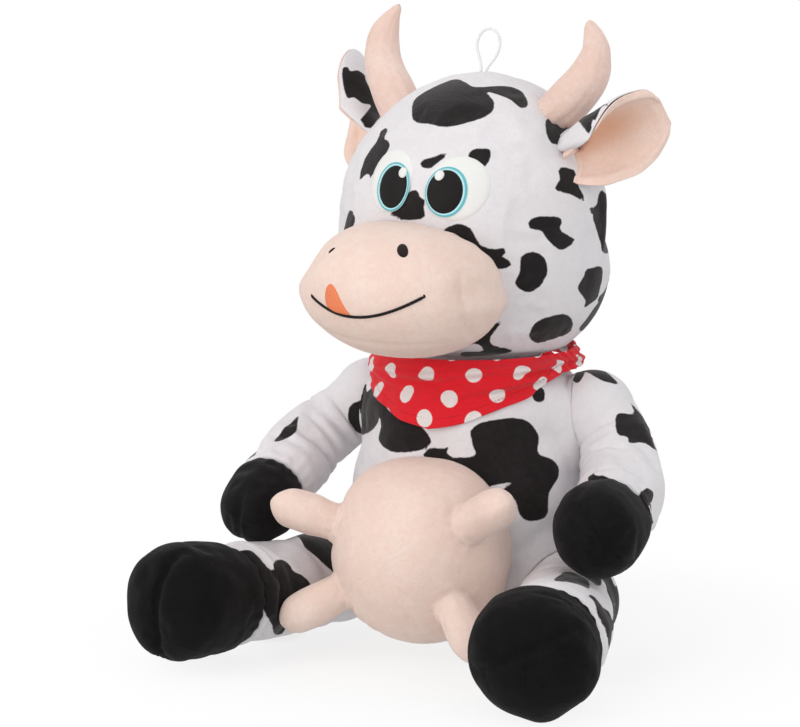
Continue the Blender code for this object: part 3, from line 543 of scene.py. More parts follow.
def dotted_cotton():
    """Woven red cotton with pale dots on a square lattice, turned 45 degrees, over flat coordinates in millimetres."""
    made, tree, shader = start_material("dotted_cotton", 0.78, 0.12, 0.5, 0.25)
    flat = node(tree, "ShaderNodeUVMap", uv_map="flat").outputs[0]
    parts = node(tree, "ShaderNodeSeparateXYZ", {"Vector": flat})
    u, v = parts.outputs["X"], parts.outputs["Y"]
    i = maths(tree, "DIVIDE", maths(tree, "SUBTRACT", u, v), 34.0)
    j = maths(tree, "DIVIDE", maths(tree, "ADD", u, v), 34.0)
    fi = maths(tree, "SUBTRACT", maths(tree, "FRACT", maths(tree, "ADD", i, 0.5)), 0.5)
    fj = maths(tree, "SUBTRACT", maths(tree, "FRACT", maths(tree, "ADD", j, 0.5)), 0.5)
    away = maths(tree, "SQRT", maths(tree, "ADD", maths(tree, "MULTIPLY", fi, fi), maths(tree, "MULTIPLY", fj, fj)))
    uneven = node(tree, "ShaderNodeTexNoise", {"Vector": flat, "Scale": 0.9, "Detail": 2.0}).outputs[0]
    away = maths(tree, "ADD", away, maths(tree, "MULTIPLY", maths(tree, "SUBTRACT", uneven, 0.5), 0.03))
    dot = ranged(tree, away, 0.235, 0.262, 1.0, 0.0)
    threads = maths(tree, "MULTIPLY", maths(tree, "SINE", maths(tree, "MULTIPLY", u, 2 * math.pi / 0.55)), maths(tree, "SINE", maths(tree, "MULTIPLY", v, 2 * math.pi / 0.55)))
    slubs = node(tree, "ShaderNodeTexNoise", {"Vector": node(tree, "ShaderNodeMapping", {"Vector": flat, "Scale": (0.25, 2.2, 1.0)}).outputs[0], "Scale": 1.0, "Detail": 3.0}).outputs[0]
    red = mixed(tree, ranged(tree, slubs, 0.3, 0.7), colour(0.73, 0.0075, 0.018), colour(0.84, 0.011, 0.026))
    pale = mixed(tree, ranged(tree, slubs, 0.3, 0.7), colour(0.80, 0.74, 0.73), colour(0.87, 0.82, 0.81))
    surface = mixed(tree, dot, red, pale)
    stitch = node(tree, "ShaderNodeAttribute", attribute_name="stitch").outputs["Fac"]
    run = node(tree, "ShaderNodeAttribute", attribute_name="run").outputs["Fac"]
    dash = ranged(tree, maths(tree, "ABSOLUTE", maths(tree, "SUBTRACT", maths(tree, "FRACT", maths(tree, "DIVIDE", run, 2.6)), 0.5)), 0.24, 0.36, 1.0, 0.0)
    line = maths(tree, "MULTIPLY", dash, ranged(tree, stitch, 0.15, 0.5, 1.0, 0.0))
    surface = mixed(tree, maths(tree, "MULTIPLY", line, 0.75), surface, colour(0.36, 0.006, 0.01))
    tree.links.new(surface, shader.inputs["Base Color"])
    height = maths(tree, "ADD", maths(tree, "MULTIPLY", threads, 0.3), maths(tree, "SUBTRACT", maths(tree, "MULTIPLY", slubs, 0.7), maths(tree, "MULTIPLY", line, 0.8)))
    bumped = node(tree, "ShaderNodeBump", {"Height": height, "Strength": 0.6, "Distance": 0.0004})
    tree.links.new(bumped.outputs[0], shader.inputs["Normal"])
    return made


def cord_material():
    made, tree, shader = start_material("white_cord", 0.75, 0.2, 0.4, 0.3)
    place = node(tree, "ShaderNodeTexCoord").outputs["Object"]
    twist = node(tree, "ShaderNodeTexWave", {"Vector": place, "Scale": 330.0, "Distortion": 0.6, "Detail": 1.0}, bands_direction="DIAGONAL").outputs["Fac"]
    surface = mixed(tree, ranged(tree, twist, 0.0, 0.5, 0.3, 0.0), colour(0.84, 0.84, 0.84), colour(0.70, 0.70, 0.71))
    tree.links.new(surface, shader.inputs["Base Color"])
    bumped = node(tree, "ShaderNodeBump", {"Height": twist, "Strength": 0.4, "Distance": 0.0002})
    tree.links.new(bumped.outputs[0], shader.inputs["Normal"])
    return made


cotton = dotted_cotton()
cord_white = cord_material()


def settle(obj, body, nodes=()):
    """The piece stands for its nodes and rides on its body."""
    if nodes:
        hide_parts(*nodes)
    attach(obj, body)
    return obj


# ------------------------------------------------------------------ hanging loop
def hanging_loop():
    path = path_through(from_head([(x, 4.0, HEAD_H + z) for x, z in LOOP_POINTS]))
    total = path[1][-1]
    points, _ = along(path, np.linspace(0, total, 36))
    down = unit(from_head([(0, 0, -1)])[0] - from_head([(0, 0, 0)])[0])
    points = np.vstack([points[:1] + down * 3.2 + RIGHT * -0.4, points, points[-1:] + down * 3.2 + RIGHT * 0.4])
    curve = bpy.data.curves.new("loop_cord", "CURVE")
    curve.dimensions = "3D"
    curve.bevel_depth = 1.0 * MM
    curve.bevel_resolution = 5
    curve.use_fill_caps = True
    spline = curve.splines.new("POLY")
    spline.points.add(len(points) - 1)
    for i, p in enumerate(points):
        spline.points[i].co = (*(p * MM), 1.0)
    curve.materials.append(cord_white)
    obj = bpy.data.objects.new("loop_cord", curve)
    bpy.context.scene.collection.objects.link(obj)
    settle(obj, "loop", ("hanging_loop",))


hanging_loop()


# ------------------------------------------------------------------ torso
def resample(points, step):
    """Points at equal spacing along a polyline."""
    p = np.asarray(points, float)
    lengths = np.concatenate([[0], np.cumsum(np.linalg.norm(np.diff(p, axis=0), axis=1))])
    count = max(int(round(lengths[-1] / step)), 2) + 1
    at = np.linspace(0, lengths[-1], count)
    return np.stack([np.interp(at, lengths, p[:, k]) for k in range(p.shape[1])], -1)


def torso_half(z):
    return curve_through(*zip(*TORSO_PROFILE), np.clip(z, 0, 190))


def socket(skin, centre, radius, reach=15.0, dip=1.3, folds=13, seed=1):
    """A round hollow that a ball root turns in, with a gathered rim."""
    v = skin.points - centre
    d = np.linalg.norm(v, axis=1)
    inside = d < radius
    skin.points[inside] = centre + unit(v[inside]) * radius
    near = (d >= radius) & (d < radius + reach * 2.5)
    if not near.any():
        return
    normals = skin.normals()
    axis = unit(normals[near].mean(0))
    e1 = unit(np.cross(axis, [0, 0, 1]))
    e2 = np.cross(axis, e1)
    phi = np.arctan2(v[near] @ e2, v[near] @ e1)
    made = np.random.RandomState(seed)
    ripple = 0.6 + 0.4 * np.cos(folds * phi + 2.2 * np.sin(2 * phi + made.uniform(0, 6)) + made.uniform(0, 6))
    depth = dip * np.exp(-(d[near] - radius) / (reach * 0.32)) * ripple
    skin.points[near] = skin.points[near] - normals[near] * depth[:, None]


def pinched(d, size):
    """How strongly a seam at distance d pulls: 1 on it, gone beyond size."""
    return np.exp(-np.maximum(d, 0) / size)


def side_of(centre, side):
    return centre if side == "left" else centre * np.array([-1.0, 1.0, 1.0])


def torso():
    heights = np.linspace(0, 190, 260)
    outline = np.stack([torso_half(heights), heights], -1)
    bowl = [(41.0 * math.sin(math.radians(a)), 195 - 41.0 * math.cos(math.radians(a))) for a in np.linspace(82.5, 3, 24)]
    outline = np.vstack([[(3.0, 0.0), (30.0, 0.0)], outline[0:1], outline[1:], bowl])
    outline = resample(outline, 2.9)
    turn = np.linspace(0, 2 * math.pi, 190, endpoint=False)
    r, z = outline[:, 0][:, None], outline[:, 1][:, None]
    rings = np.stack([r * np.cos(turn), TORSO_DEPTH * r * np.sin(turn), z + 0 * turn], -1)
    skin = lofted(rings, (0, 0, 0), (0, 0, 154))
    p = skin.points
    free = smooth(p[:, 2], 3, 20) * (1 - smooth(p[:, 2], 176, 186))
    back_seam = bump(p[:, 0] + 1.5 * np.sin(p[:, 2] / 21), 0, 1.4) * (p[:, 1] > 30)
    stitch = 0.5 + 0.5 * np.cos(p[:, 2] * 2 * math.pi / 7)
    skin.push(free * (waves(p, 95, 3) * 0.9 + waves(p, 30, 4) * 0.35 - back_seam * (0.7 + 0.5 * stitch)))
    for side, seed in (("left", 11), ("right", 12)):
        # the skin rises round each limb's root, so that the limb runs into it without a step
        for centre, ball, rise in ((side_of(SHOULDER, side), SHOULDER_BALL, 6.0), (side_of(HIP, side), HIP_BALL, 7.0)):
            away = np.maximum(np.linalg.norm(skin.points - centre, axis=1) - ball, 0)
            skin.push(rise * np.exp(-((away / 11.0) ** 2)) * (1 - smooth(p[:, 2], 166, 178)) * smooth(p[:, 2], 3, 14))
        socket(skin, side_of(SHOULDER, side), SHOULDER_BALL + 0.35, 12, 0.7, 11, seed)
        socket(skin, side_of(HIP, side), HIP_BALL + 0.35, 12, 0.8, 11, seed + 10)
    # gathers under the seam of the udder
    v = (p - UDDER_CENTRE) / UDDER_HALF
    d = (np.linalg.norm(v, axis=1) - 1) * 60
    phi = np.arctan2(v[:, 2], v[:, 0])
    skin.push(-1.1 * pinched(d, 5) * (d > -6) * (p[:, 1] < -30) * (0.6 + 0.4 * np.cos(23 * phi + 2 * np.sin(3 * phi))))
    skin.points[:, 2] = np.maximum(skin.points[:, 2], 0)
    hold = 1 - smooth(p[:, 2], 4, 16) * (1 - smooth(p[:, 2], 150, 176))
    for side in ("left", "right"):
        hold = np.maximum(hold, 1 - smooth(np.linalg.norm(p - side_of(SHOULDER, side), axis=1), SHOULDER_BALL + 3, SHOULDER_BALL + 14))
        hold = np.maximum(hold, 1 - smooth(np.linalg.norm(p - side_of(HIP, side), axis=1), HIP_BALL + 3, HIP_BALL + 14))
    relax_cloth(skin, np.where(hold > 0.5, 1.0, 0.0), pressure=0.8, shrink=-0.012, cap=1.6)
    skin.points[:, 2] = np.maximum(skin.points[:, 2], 0)
    belly = [(471, 430), (484, 422), (515, 418), (531, 424), (539, 438), (538, 453), (553, 460), (559, 469), (557, 480), (550, 491), (548, 504), (548, 513), (542, 519), (528, 521), (519, 513), (515, 500), (500, 493), (511, 483), (495, 485), (480, 488), (464, 473), (449, 462), (436, 460), (423, 456), (430, 448.5), (442, 448.5), (448.5, 447.5), (447, 453), (453, 457), (462, 457.5), (473, 456.5), (475.5, 453), (472, 443)]
    chest = [(378, 389), (428, 434), (423, 449), (394, 452), (379, 441), (381, 424)]
    side_patch = [(358, 402), (366, 401), (378, 395), (380, 412), (377, 424), (368, 433), (358, 432)]
    under_scarf = [(531, 390), (540, 387), (545, 392), (544, 401), (537, 402), (533, 398)]
    crease_patch = [(583, 451), (589, 458), (590, 472), (585, 474), (582, 463)]
    hip_patch = [(531.4, 577.9), (535.7, 570.7), (540.7, 564.6), (546.4, 563), (548, 568), (540, 578), (534, 584)]
    print_patches(skin, [belly, chest, side_patch, under_scarf, crease_patch, hip_patch], [
        ((-74, -35, 158), 16, 20, 1.05),
        ((0, 84, 128), 25, 21, 1.15), ((-46, 70, 76), 21, 22, 1.2), ((50, 68, 66), 23, 23, 0.9), ((58, 55, 132), 15, 24, 1.2), ((-60, 52, 136), 17, 25, 0.9),
        ((5, 84, 40), 17, 26, 1.3), ((-85, 14, 92), 17, 27, 1.2), ((86, 12, 96), 18, 28, 1.1), ((-74, 42, 30), 12, 29, 1.0), ((78, 36, 24), 13, 30, 1.2), ((88, -30, 92), 9, 31, 1.1), ((-30, 78, 160), 11, 32, 1.2),
    ])
    obj = bake_down("torso_plush", skin, [white_plush])
    settle(obj, "torso", ("torso_skin", "torso_filling"))


torso()


def neck():
    rise = np.radians(np.linspace(-86, 86, 30))[:, None]
    turn = np.linspace(0, 2 * math.pi, 60, endpoint=False)
    rings = NECK + 40.2 * np.stack([np.cos(rise) * np.cos(turn), np.cos(rise) * np.sin(turn), np.sin(rise) + 0 * turn], -1)
    skin = lofted(rings, NECK - [0, 0, 40.2], NECK + [0, 0, 40.2])
    phi = np.arctan2(skin.points[:, 1], skin.points[:, 0])
    skin.push(-0.5 * (0.5 + 0.5 * np.cos(24 * phi)) * bump(skin.points[:, 2], 195, 14))
    skin.values["print"] = np.full(len(skin.points), -8.0)
    settle(bake_down("neck_plush", skin, [white_plush]), "neck", ("neck_filling",))


neck()


# ------------------------------------------------------------------ head
def head_surface(turn, rise, grow=0.0):
    """A point of the head in its own frame: turn about its axis and rise, both in radians."""
    power = np.where(rise >= 0, HEAD_TOP_POWER, HEAD_LOW_POWER)
    c, s = np.abs(np.cos(rise)) ** (2 / power), np.abs(np.sin(rise)) ** (2 / power)
    r = (HEAD_R + grow) * c
    return np.stack([r * np.cos(turn), r * np.sin(turn), np.sign(rise) * (HEAD_H + grow) * s + 0 * turn], -1)


def head_front(x, z):
    """The front of the head beside its middle, and the outward direction there."""
    x, z = np.asarray(x, float), np.asarray(z, float)
    power = np.where(z >= 0, HEAD_TOP_POWER, HEAD_LOW_POWER)
    r = HEAD_R * (1 - np.abs(z / HEAD_H) ** power) ** (1 / power)
    y = -np.sqrt(r * r - x * x)
    slope = np.abs(z / HEAD_H) ** (power - 1) / HEAD_H * np.sign(z)
    flat = (r / HEAD_R) ** (power - 1) / HEAD_R
    return np.stack([x, y, z], -1), unit(np.stack([x / r * flat, y / r * flat, slope], -1))


def muzzle_depth(p):
    """About how far points of the head frame are outside the muzzle's ball, in millimetres."""
    v = np.abs((p - MUZZLE_CENTRE) / MUZZLE_HALF)
    return ((v**MUZZLE_POWER).sum(1) ** (1 / MUZZLE_POWER) - 1) * 52


HORN_PATHS = {side: path_through(points) for side, points in HORN_PATH.items()}


def head():
    rise = np.radians(np.linspace(-68.4, 89.5, 400))
    meridian = head_surface(np.zeros(400), rise)
    start = meridian[0]
    neck_at = to_head(NECK)
    dome = [(43.0 * math.cos(math.radians(a)), neck_at[2] + 43.0 * math.sin(math.radians(a))) for a in np.linspace(86, 4, 24)]
    outline = np.vstack([dome, [(start[0] - 3, start[2] - 0.8)], np.stack([meridian[:, 0], meridian[:, 2]], -1)])
    outline = resample(outline, 2.8)
    turn = np.linspace(0, 2 * math.pi, 212, endpoint=False)
    r, z = outline[:, 0][:, None], outline[:, 1][:, None]
    shift = (1 - smooth(z, -97, -70)) * (r < 47)
    rings = np.stack([r * np.cos(turn) + shift * neck_at[0], r * np.sin(turn) + shift * neck_at[1], z + 0 * turn], -1)
    skin = lofted(rings, (neck_at[0], neck_at[1], neck_at[2] + 43.0), (0, 0, HEAD_H))
    p = skin.points
    outside = (np.hypot(p[:, 0], p[:, 1]) > 46) | (p[:, 2] > -40)
    amount = waves(p, 120, 5) * 0.9 + waves(p, 38, 6) * 0.35
    # the muzzle's seam draws the head in
    d = muzzle_depth(p)
    phi = np.arctan2(p[:, 2] - MUZZLE_CENTRE[2], p[:, 0])
    front = p[:, 1] < -20
    amount -= front * (d > -4) * pinched(d, 5.5) * (1.5 + 0.35 * np.cos(31 * phi + 2 * np.sin(4 * phi)))
    # horn roots
    for side in ("left", "right"):
        dense = HORN_PATHS[side][0][:48]
        away = np.linalg.norm(p[:, None] - dense[None, ::4], axis=2).min(1) - 15.0
        centre = dense[24]
        phi = np.arctan2(p[:, 1] - centre[1], (p[:, 0] - centre[0]) * 0.8 - (p[:, 2] - centre[2]) * 0.6)
        amount -= pinched(away, 4.0) * (1.2 + 0.5 * np.cos(12 * phi))
    # seams: one over the crown from ear to ear, one down the back
    crown = bump(p[:, 1] - 4.0, 0, 1.3) * (p[:, 2] > 40)
    back = bump(p[:, 0], 0, 1.4) * (p[:, 1] > 10)
    stitch = 0.5 + 0.5 * np.cos((p[:, 0] + p[:, 2] * 0.7) * 2 * math.pi / 6)
    amount -= 0.55 * crown * (0.7 + 0.5 * stitch) + 0.8 * back * (0.7 + 0.5 * stitch)
    # it is slimmer behind the left ear
    world = from_head(p)
    level = (world - from_head(np.zeros((1, 3)))) * (1, 1, 0)
    amount -= 10.0 * smooth(world[:, 2], 252, 296) * (1 - smooth(world[:, 2], 312, 345)) * smooth(unit(level) @ RIGHT, 0.86, 0.99)
    skin.push(amount * outside * smooth(p[:, 2], -92, -80))
    hold = (~outside) | (p[:, 2] < -84) | ((d < 6) & front)
    for side in ("left", "right"):
        dense = HORN_PATHS[side][0][:48]
        hold |= np.linalg.norm(p[:, None] - dense[None, ::4], axis=2).min(1) < 24
    hold |= (np.abs(p[:, 0]) < 55) & (p[:, 2] < 52) & (p[:, 2] > -20) & (p[:, 1] < -60)
    relax_cloth(skin, hold.astype(float), pressure=0.7, shrink=-0.01, cap=1.4)
    own_tree = skin.tree()
    skin.points = from_head(skin.points)
    seen = [
        [(412, 114), (417, 97), (451, 80), (465, 82), (475, 87), (504, 86), (521, 91), (528, 104), (521, 108), (509, 99), (487, 92), (494, 102), (490, 114), (470, 122), (446, 127), (429, 124), (416, 122)],
        [(421, 162), (425, 159), (434, 157), (440, 154), (445.6, 153.5), (447, 155.6), (442.5, 159), (435, 165), (431, 168), (424, 168), (420.6, 165.6)],
        [(468, 157.5), (471, 150.6), (479, 148.5), (489, 149), (491, 154), (489, 161), (482, 169.4), (479, 165.6), (472.5, 160)],
        [(385, 128.4), (387.6, 130), (384.6, 138), (388, 141), (389.6, 146), (385.6, 154), (381, 160), (375, 169), (371, 179), (369, 174.4), (365, 175), (359.4, 179.4), (364, 161), (371, 149), (376.5, 142), (381, 131)],
        [(408, 193), (415, 190), (419, 194), (420, 197.5), (425, 200), (424, 205), (424, 209), (425, 216), (422.5, 219), (410, 220), (396, 219.5), (399, 217), (391, 215.6), (389, 214), (400, 205)],
        [(349, 211), (355, 218), (351, 233), (343, 237)],
        [(442, 233), (450, 226), (460, 224), (470, 228), (476, 238), (482, 246), (495, 249), (504, 248), (506, 252), (502, 256), (510, 261), (511, 265), (507, 268), (497.5, 269), (490, 262), (476, 252), (462, 243), (450, 238)],
        [(545.6, 128), (546, 120), (553, 116), (557, 120), (563, 128.6), (570, 123.4), (577, 121), (576, 133), (574.5, 143.6), (569, 142), (568.6, 147), (563, 144), (553, 144), (548, 137.5)],
        [(559, 168), (574, 170), (577, 182), (585, 201), (572, 195), (555, 189), (560, 179)],
        [(600.5, 190.5), (597.5, 199), (597, 204), (594, 207), (589.5, 208), (590, 212), (593, 214.5), (593, 219), (596, 228), (599, 238), (601, 244), (601.5, 250), (605, 253.5), (609, 252), (613.5, 247), (619, 240), (619, 215), (612, 200), (604, 192)],
        [(528, 223), (536, 217), (558, 217), (562, 223), (560, 230), (574, 239), (572, 244), (560, 250), (548, 240), (541, 231), (531, 229)],
        [(521, 257), (533, 252), (545, 259), (547, 274), (538, 288), (526, 292), (515, 284), (520, 271)],
        [(586, 269.5), (592, 268), (598.5, 266), (602.5, 269), (602, 280), (600, 288), (598, 297), (594, 301), (590, 304), (584, 308), (585.5, 302), (583.5, 297.5), (579, 291), (578, 287), (580, 282), (583.5, 277)],
        [(610, 276), (607, 285), (603.5, 292), (598, 298), (598, 303), (594, 308), (590, 314), (585, 321), (579, 328.5), (584, 331), (594, 321), (604, 307), (613, 292), (615, 278)],
        [(530, 332), (538, 321), (562, 314), (572, 320), (570, 332), (553, 339), (538, 343), (530, 338)],
        [(502.5, 321), (494, 332), (490, 340), (495, 346), (513, 350), (502, 354), (480, 356), (462, 356), (463, 352), (483, 351), (478, 344), (469, 344), (487, 333), (493, 325)],
    ]
    blobs = [((10, 100, 300), 26, 41, 1.2), ((55, 85, 340), 17, 42, 1.1), ((-50, 80, 255), 20, 43, 1.2), ((68, 62, 262), 17, 44, 0.9), ((-85, 45, 305), 17, 45, 1.2), ((-40, 70, 352), 16, 46, 1.1),
             ((20, 85, 232), 14, 47, 1.2), ((94, 20, 300), 12, 48, 1.1), ((-92, 0, 262), 14, 49, 1.2), ((-70, -55, 240), 11, 50, 1.0), ((30, 40, 378), 13, 51, 1.3), ((-30, 88, 308), 10, 52, 1.2), ((-88, -35, 310), 10, 53, 1.1), ((90, 41, 284), 14, 54, 1.1), ((76, 35, 237), 9, 55, 1.0)]
    print_patches(skin, seen, blobs)
    settle(bake_down("head_plush", skin, [white_plush]), "head", ("head_skin", "head_filling"))
    return own_tree


head_tree = head()


def on_head(x, z):
    """The finished skin of the face above (x, z), and the smooth outward direction there."""
    p, out = head_front(x, z)
    rows = []
    for point, away in zip(p.reshape(-1, 3), out.reshape(-1, 3)):
        found = head_tree.ray_cast(Vector(point + away * 12), Vector(-away), 24.0)[0]
        rows.append(point if found is None else np.array(found))
    return np.array(rows).reshape(p.shape), out


# ------------------------------------------------------------------ muzzle
def signed_power(v, n):
    return np.sign(v) * np.abs(v) ** n


def muzzle_front(x, z):
    x, z = np.asarray(x, float), np.asarray(z, float)
    a, b, c = MUZZLE_HALF
    u, w = (x - MUZZLE_CENTRE[0]) / a, (z - MUZZLE_CENTRE[2]) / c
    n = MUZZLE_POWER
    v = np.maximum(1 - np.abs(u) ** n - np.abs(w) ** n, 1e-6) ** (1 / n)
    out = unit(np.stack([signed_power(u, n - 1) / a, -(v ** (n - 1)) / b, signed_power(w, n - 1) / c], -1))
    return np.stack([x, MUZZLE_CENTRE[1] - b * v, z], -1), out


def muzzle_shape(p):
    """Seams and unevenness of the muzzle, as a push along its normals. p is in the head frame."""
    x, z = p[:, 0], p[:, 2]
    front = smooth(-p[:, 1], 95, 120)
    cheek = bump(x - (58.0 - 0.0095 * (z + 46) ** 2), 0, 1.25) * smooth(z, -80, -68) * (1 - smooth(z, -27, -18))
    low = bump(z - (-70.5 + 0.0016 * x**2), 0, 1.5) * (1 - smooth(np.abs(x), 34, 48))
    puckers = 0.5 + 0.5 * np.cos(z * 2 * math.pi / 5.5)
    amount = -front * (cheek * (1.5 + 0.5 * puckers) + low * 0.7)
    # the cloth swells before the cheek seam and lies flatter behind it
    amount += front * 1.1 * bump(x, 49, 6) * smooth(z, -78, -62) * (1 - smooth(z, -28, -14))
    # the ends of the muzzle's middle seam stand out a little
    side = np.abs(x - MUZZLE_CENTRE[0])
    amount += smooth(side, 46, 66) * (1.6 * np.exp(-(((z + 46) / 6.0) ** 2)) - 1.5 * np.exp(-(((z + 32) / 8.0) ** 2)))
    amount -= 2.4 * smooth(-x, 34, 58) * np.exp(-(((z + 24) / 11.0) ** 2))
    return amount + waves(p, 55, 7) * 0.5 + waves(p, 20, 8) * 0.12


def muzzle():
    n = 92
    rise = np.linspace(-math.pi / 2, math.pi / 2, 3 * n)[1:-1]
    turn = np.linspace(0, 2 * math.pi, 176, endpoint=False)
    a, b, c = MUZZLE_HALF
    # even rows along the meridian
    power = 2 / MUZZLE_POWER
    line = np.stack([np.abs(np.cos(rise)) ** power * a, signed_power(np.sin(rise), power) * c], -1)
    line = resample(line, 2.0)
    share = line[:, 0] / a
    cosine = signed_power(np.cos(turn), power)
    sine = signed_power(np.sin(turn), power)
    rings = np.stack([MUZZLE_CENTRE[0] + a * share[:, None] * cosine, b * share[:, None] * sine + MUZZLE_CENTRE[1], line[:, 1][:, None] + MUZZLE_CENTRE[2] + 0 * turn], -1)
    skin = lofted(rings, MUZZLE_CENTRE - [0, 0, c], MUZZLE_CENTRE + [0, 0, c])
    p = skin.points
    base = muzzle_shape(p)
    # drawn in where it is sewn to the head
    d = (np.linalg.norm(p / np.array([HEAD_R, HEAD_R, HEAD_H]), axis=1) - 1) * 96
    phi = np.arctan2(p[:, 2] - MUZZLE_CENTRE[2], p[:, 0])
    base -= (d > -8) * pinched(d, 4.0) * (1.3 + 0.5 * np.cos(31 * phi + 2 * np.sin(4 * phi)))
    skin.push(base)
    skin.points = from_head(skin.points)
    settle(bake_down("muzzle_plush", skin, [pink_plush]), "head", ("muzzle_skin", "muzzle_filling"))
    return skin.tree()


muzzle_tree = muzzle()


def drawn_on_muzzle(pixels):
    """Places (x, z) of the muzzle under picture points."""
    return to_head(seen_outline(muzzle_tree, pixels))[:, [0, 2]]


def on_muzzle(x, z):
    p, out = muzzle_front(x, z)
    shape = p.shape
    moved = p.reshape(-1, 3) + out.reshape(-1, 3) * muzzle_shape(p.reshape(-1, 3))[:, None]
    return moved.reshape(shape), out


def oval(centre, half_x, half_z, lean=0.0, count=72, wave=0.0):
    a = np.linspace(0, 2 * math.pi, count, endpoint=False)
    grow = 1 + wave * np.sin(a * 23)
    x, z = half_x * np.cos(a) * grow, half_z * np.sin(a) * grow
    c, s = math.cos(math.radians(lean)), math.sin(math.radians(lean))
    return np.stack([centre[0] + x * c - z * s, centre[1] + x * s + z * c], -1)


def pad(name, outline, centre, surface, low, high, material, nodes, rings=9, edge=5.0, dome=0.0):
    """An embroidered pad on a surface: a soft rim and a slightly domed top of satin stitch."""
    outline, centre = np.asarray(outline, float), np.asarray(centre, float)
    shares = np.concatenate([np.linspace(0.25, 1.0, 4), np.linspace(0.985, 0.06, rings)])
    lifts = []
    for k, s in enumerate(shares):
        lifts.append(low if k < 4 else low + (high - low) * (1 - s**edge) ** 0.5 + dome * (1 - s * s))
    flat, rows = [], []
    for s, lift in zip(shares, lifts):
        q = centre + (outline - centre) * s
        point, out = surface(q[:, 0], q[:, 1])
        rows.append(point + out * lift)
        flat.append(q)
    p0, n0 = surface(*centre)
    skin = lofted(np.array(rows), p0 + n0 * low, p0 + n0 * (high + dome))
    skin.points = from_head(skin.points)
    uv = np.vstack([np.vstack(flat), centre[None], centre[None]])
    obj = bake_down(name, skin, [material], uv=uv)
    settle(obj, "head", nodes)
    return obj


def band(name, outer, inner, surface, low, high, material, nodes):
    """A raised ring of stitches between two outlines."""
    rows, flat = [], []
    profile = [(0.0, 0.0), (0.5, 0.0), (1.0, 0.0), (1.0, 0.45), (0.9, 0.8), (0.7, 0.97), (0.5, 1.0), (0.3, 0.97), (0.1, 0.8), (0.0, 0.45)]
    for share, up in profile:
        q = inner + (outer - inner) * share
        point, out = surface(q[:, 0], q[:, 1])
        rows.append(point + out * (low + (high - low) * up))
        flat.append(q)
    n, m = len(rows), len(outer)
    points = np.array(rows).reshape(-1, 3)
    faces = []
    for i in range(n):
        k = (i + 1) % n
        for j in range(m):
            l = (j + 1) % m
            faces.append((i * m + j, i * m + l, k * m + l, k * m + j))
    skin = Skin(from_head(points), faces)
    skin.values["across"] = np.repeat([share for share, _ in profile], m)
    # threads run across the ring
    angle = np.tile(np.arange(m) / m, n)
    mean = np.linalg.norm(outer - outer.mean(0), axis=1).mean()
    uv = np.stack([np.repeat([share for share, _ in profile], m) * 2.8, angle * 2 * math.pi * mean], -1)
    obj = bake_down(name, skin, [material], uv=uv)
    settle(obj, "head", nodes)


def two_tone_ring():
    """Satin ring: pale blue beside the pupil, deeper blue along its outer part."""
    made = satin("blue_satin_stitch", (0.55, 0.87, 0.91), (0.48, 0.82, 0.87), pitch=0.6, contrast=0.2)
    tree = made.node_tree
    shader = tree.nodes["Principled BSDF"]
    plain = shader.inputs["Base Color"].links[0].from_socket
    across = node(tree, "ShaderNodeAttribute", attribute_name="across").outputs["Fac"]
    deep = maths(tree, "MULTIPLY", ranged(tree, across, 0.30, 0.48), ranged(tree, across, 0.82, 0.98, 1.0, 0.0))
    tree.links.new(mixed(tree, deep, plain, colour(0.13, 0.47, 0.54)), shader.inputs["Base Color"])
    return made


ring_blue = two_tone_ring()
PUPIL_AT = {"left": (20.0, 23.5), "right": (-18.0, 23.0)}
WHITE_OF_EYE = {"left": ((26.6, 26.2), 20.2, 20.6, 0), "right": ((-22.0, 26.6), 17.4, 21.0, -13)}
EYE_LEAN = {"left": 9, "right": -12}
GLINT_AT = {"left": (14.9, 33.2), "right": (-11.2, 32.6)}
NOSTRIL = {"left": ((18.9, -10.0), (3.1, 0.2), (-3.1, 3.6)), "right": ((-30.4, -15.2), (0.8, -0.1), (1.5, 1.9))}
for side in ("left", "right"):
    centre, hx, hz, white_lean = WHITE_OF_EYE[side]
    lean = EYE_LEAN[side]
    pad(f"eye_white_pad_{side}", oval(centre, hx, hz, white_lean, 96, 0.003), centre, on_head, -0.2, 1.15, satin_white, (f"eye_white_{side}",))
    e = PUPIL_AT[side]
    outer_at = (e[0] + (0.8 if side == "left" else -0.2), e[1])
    band(f"eye_ring_band_{side}", oval(outer_at, 13.6, 15.9, lean, 120), oval(e, 11.4, 13.6, lean, 120), on_head, 0.9, 1.75, ring_blue, (f"eye_ring_{side}",))
    pad(f"eye_pupil_pad_{side}", oval(e, 11.8, 14.0, lean, 110, 0.003), e, on_head, 0.9, 1.9, satin_black, (f"eye_pupil_{side}",), dome=0.3)
    g = GLINT_AT[side]
    pad(f"eye_glint_pad_{side}", oval(g, 3.1, 3.3, 0, 40), g, on_head, 1.7, 2.7, satin_white, (f"eye_glint_{side}",), rings=6, edge=3.0)
    spot, wide, tall = (np.array(v) for v in NOSTRIL[side])
    a = np.linspace(0, 2 * math.pi, 44, endpoint=False)[:, None]
    pad(f"nostril_pad_{side}", spot + np.cos(a) * wide + np.sin(a) * tall, spot, on_muzzle, -0.2, 0.8, satin_brown, (f"nostril_{side}",), rings=6)


def mouth_height(x):
    return -52.8 + 0.0081 * (x + 5.8) ** 2


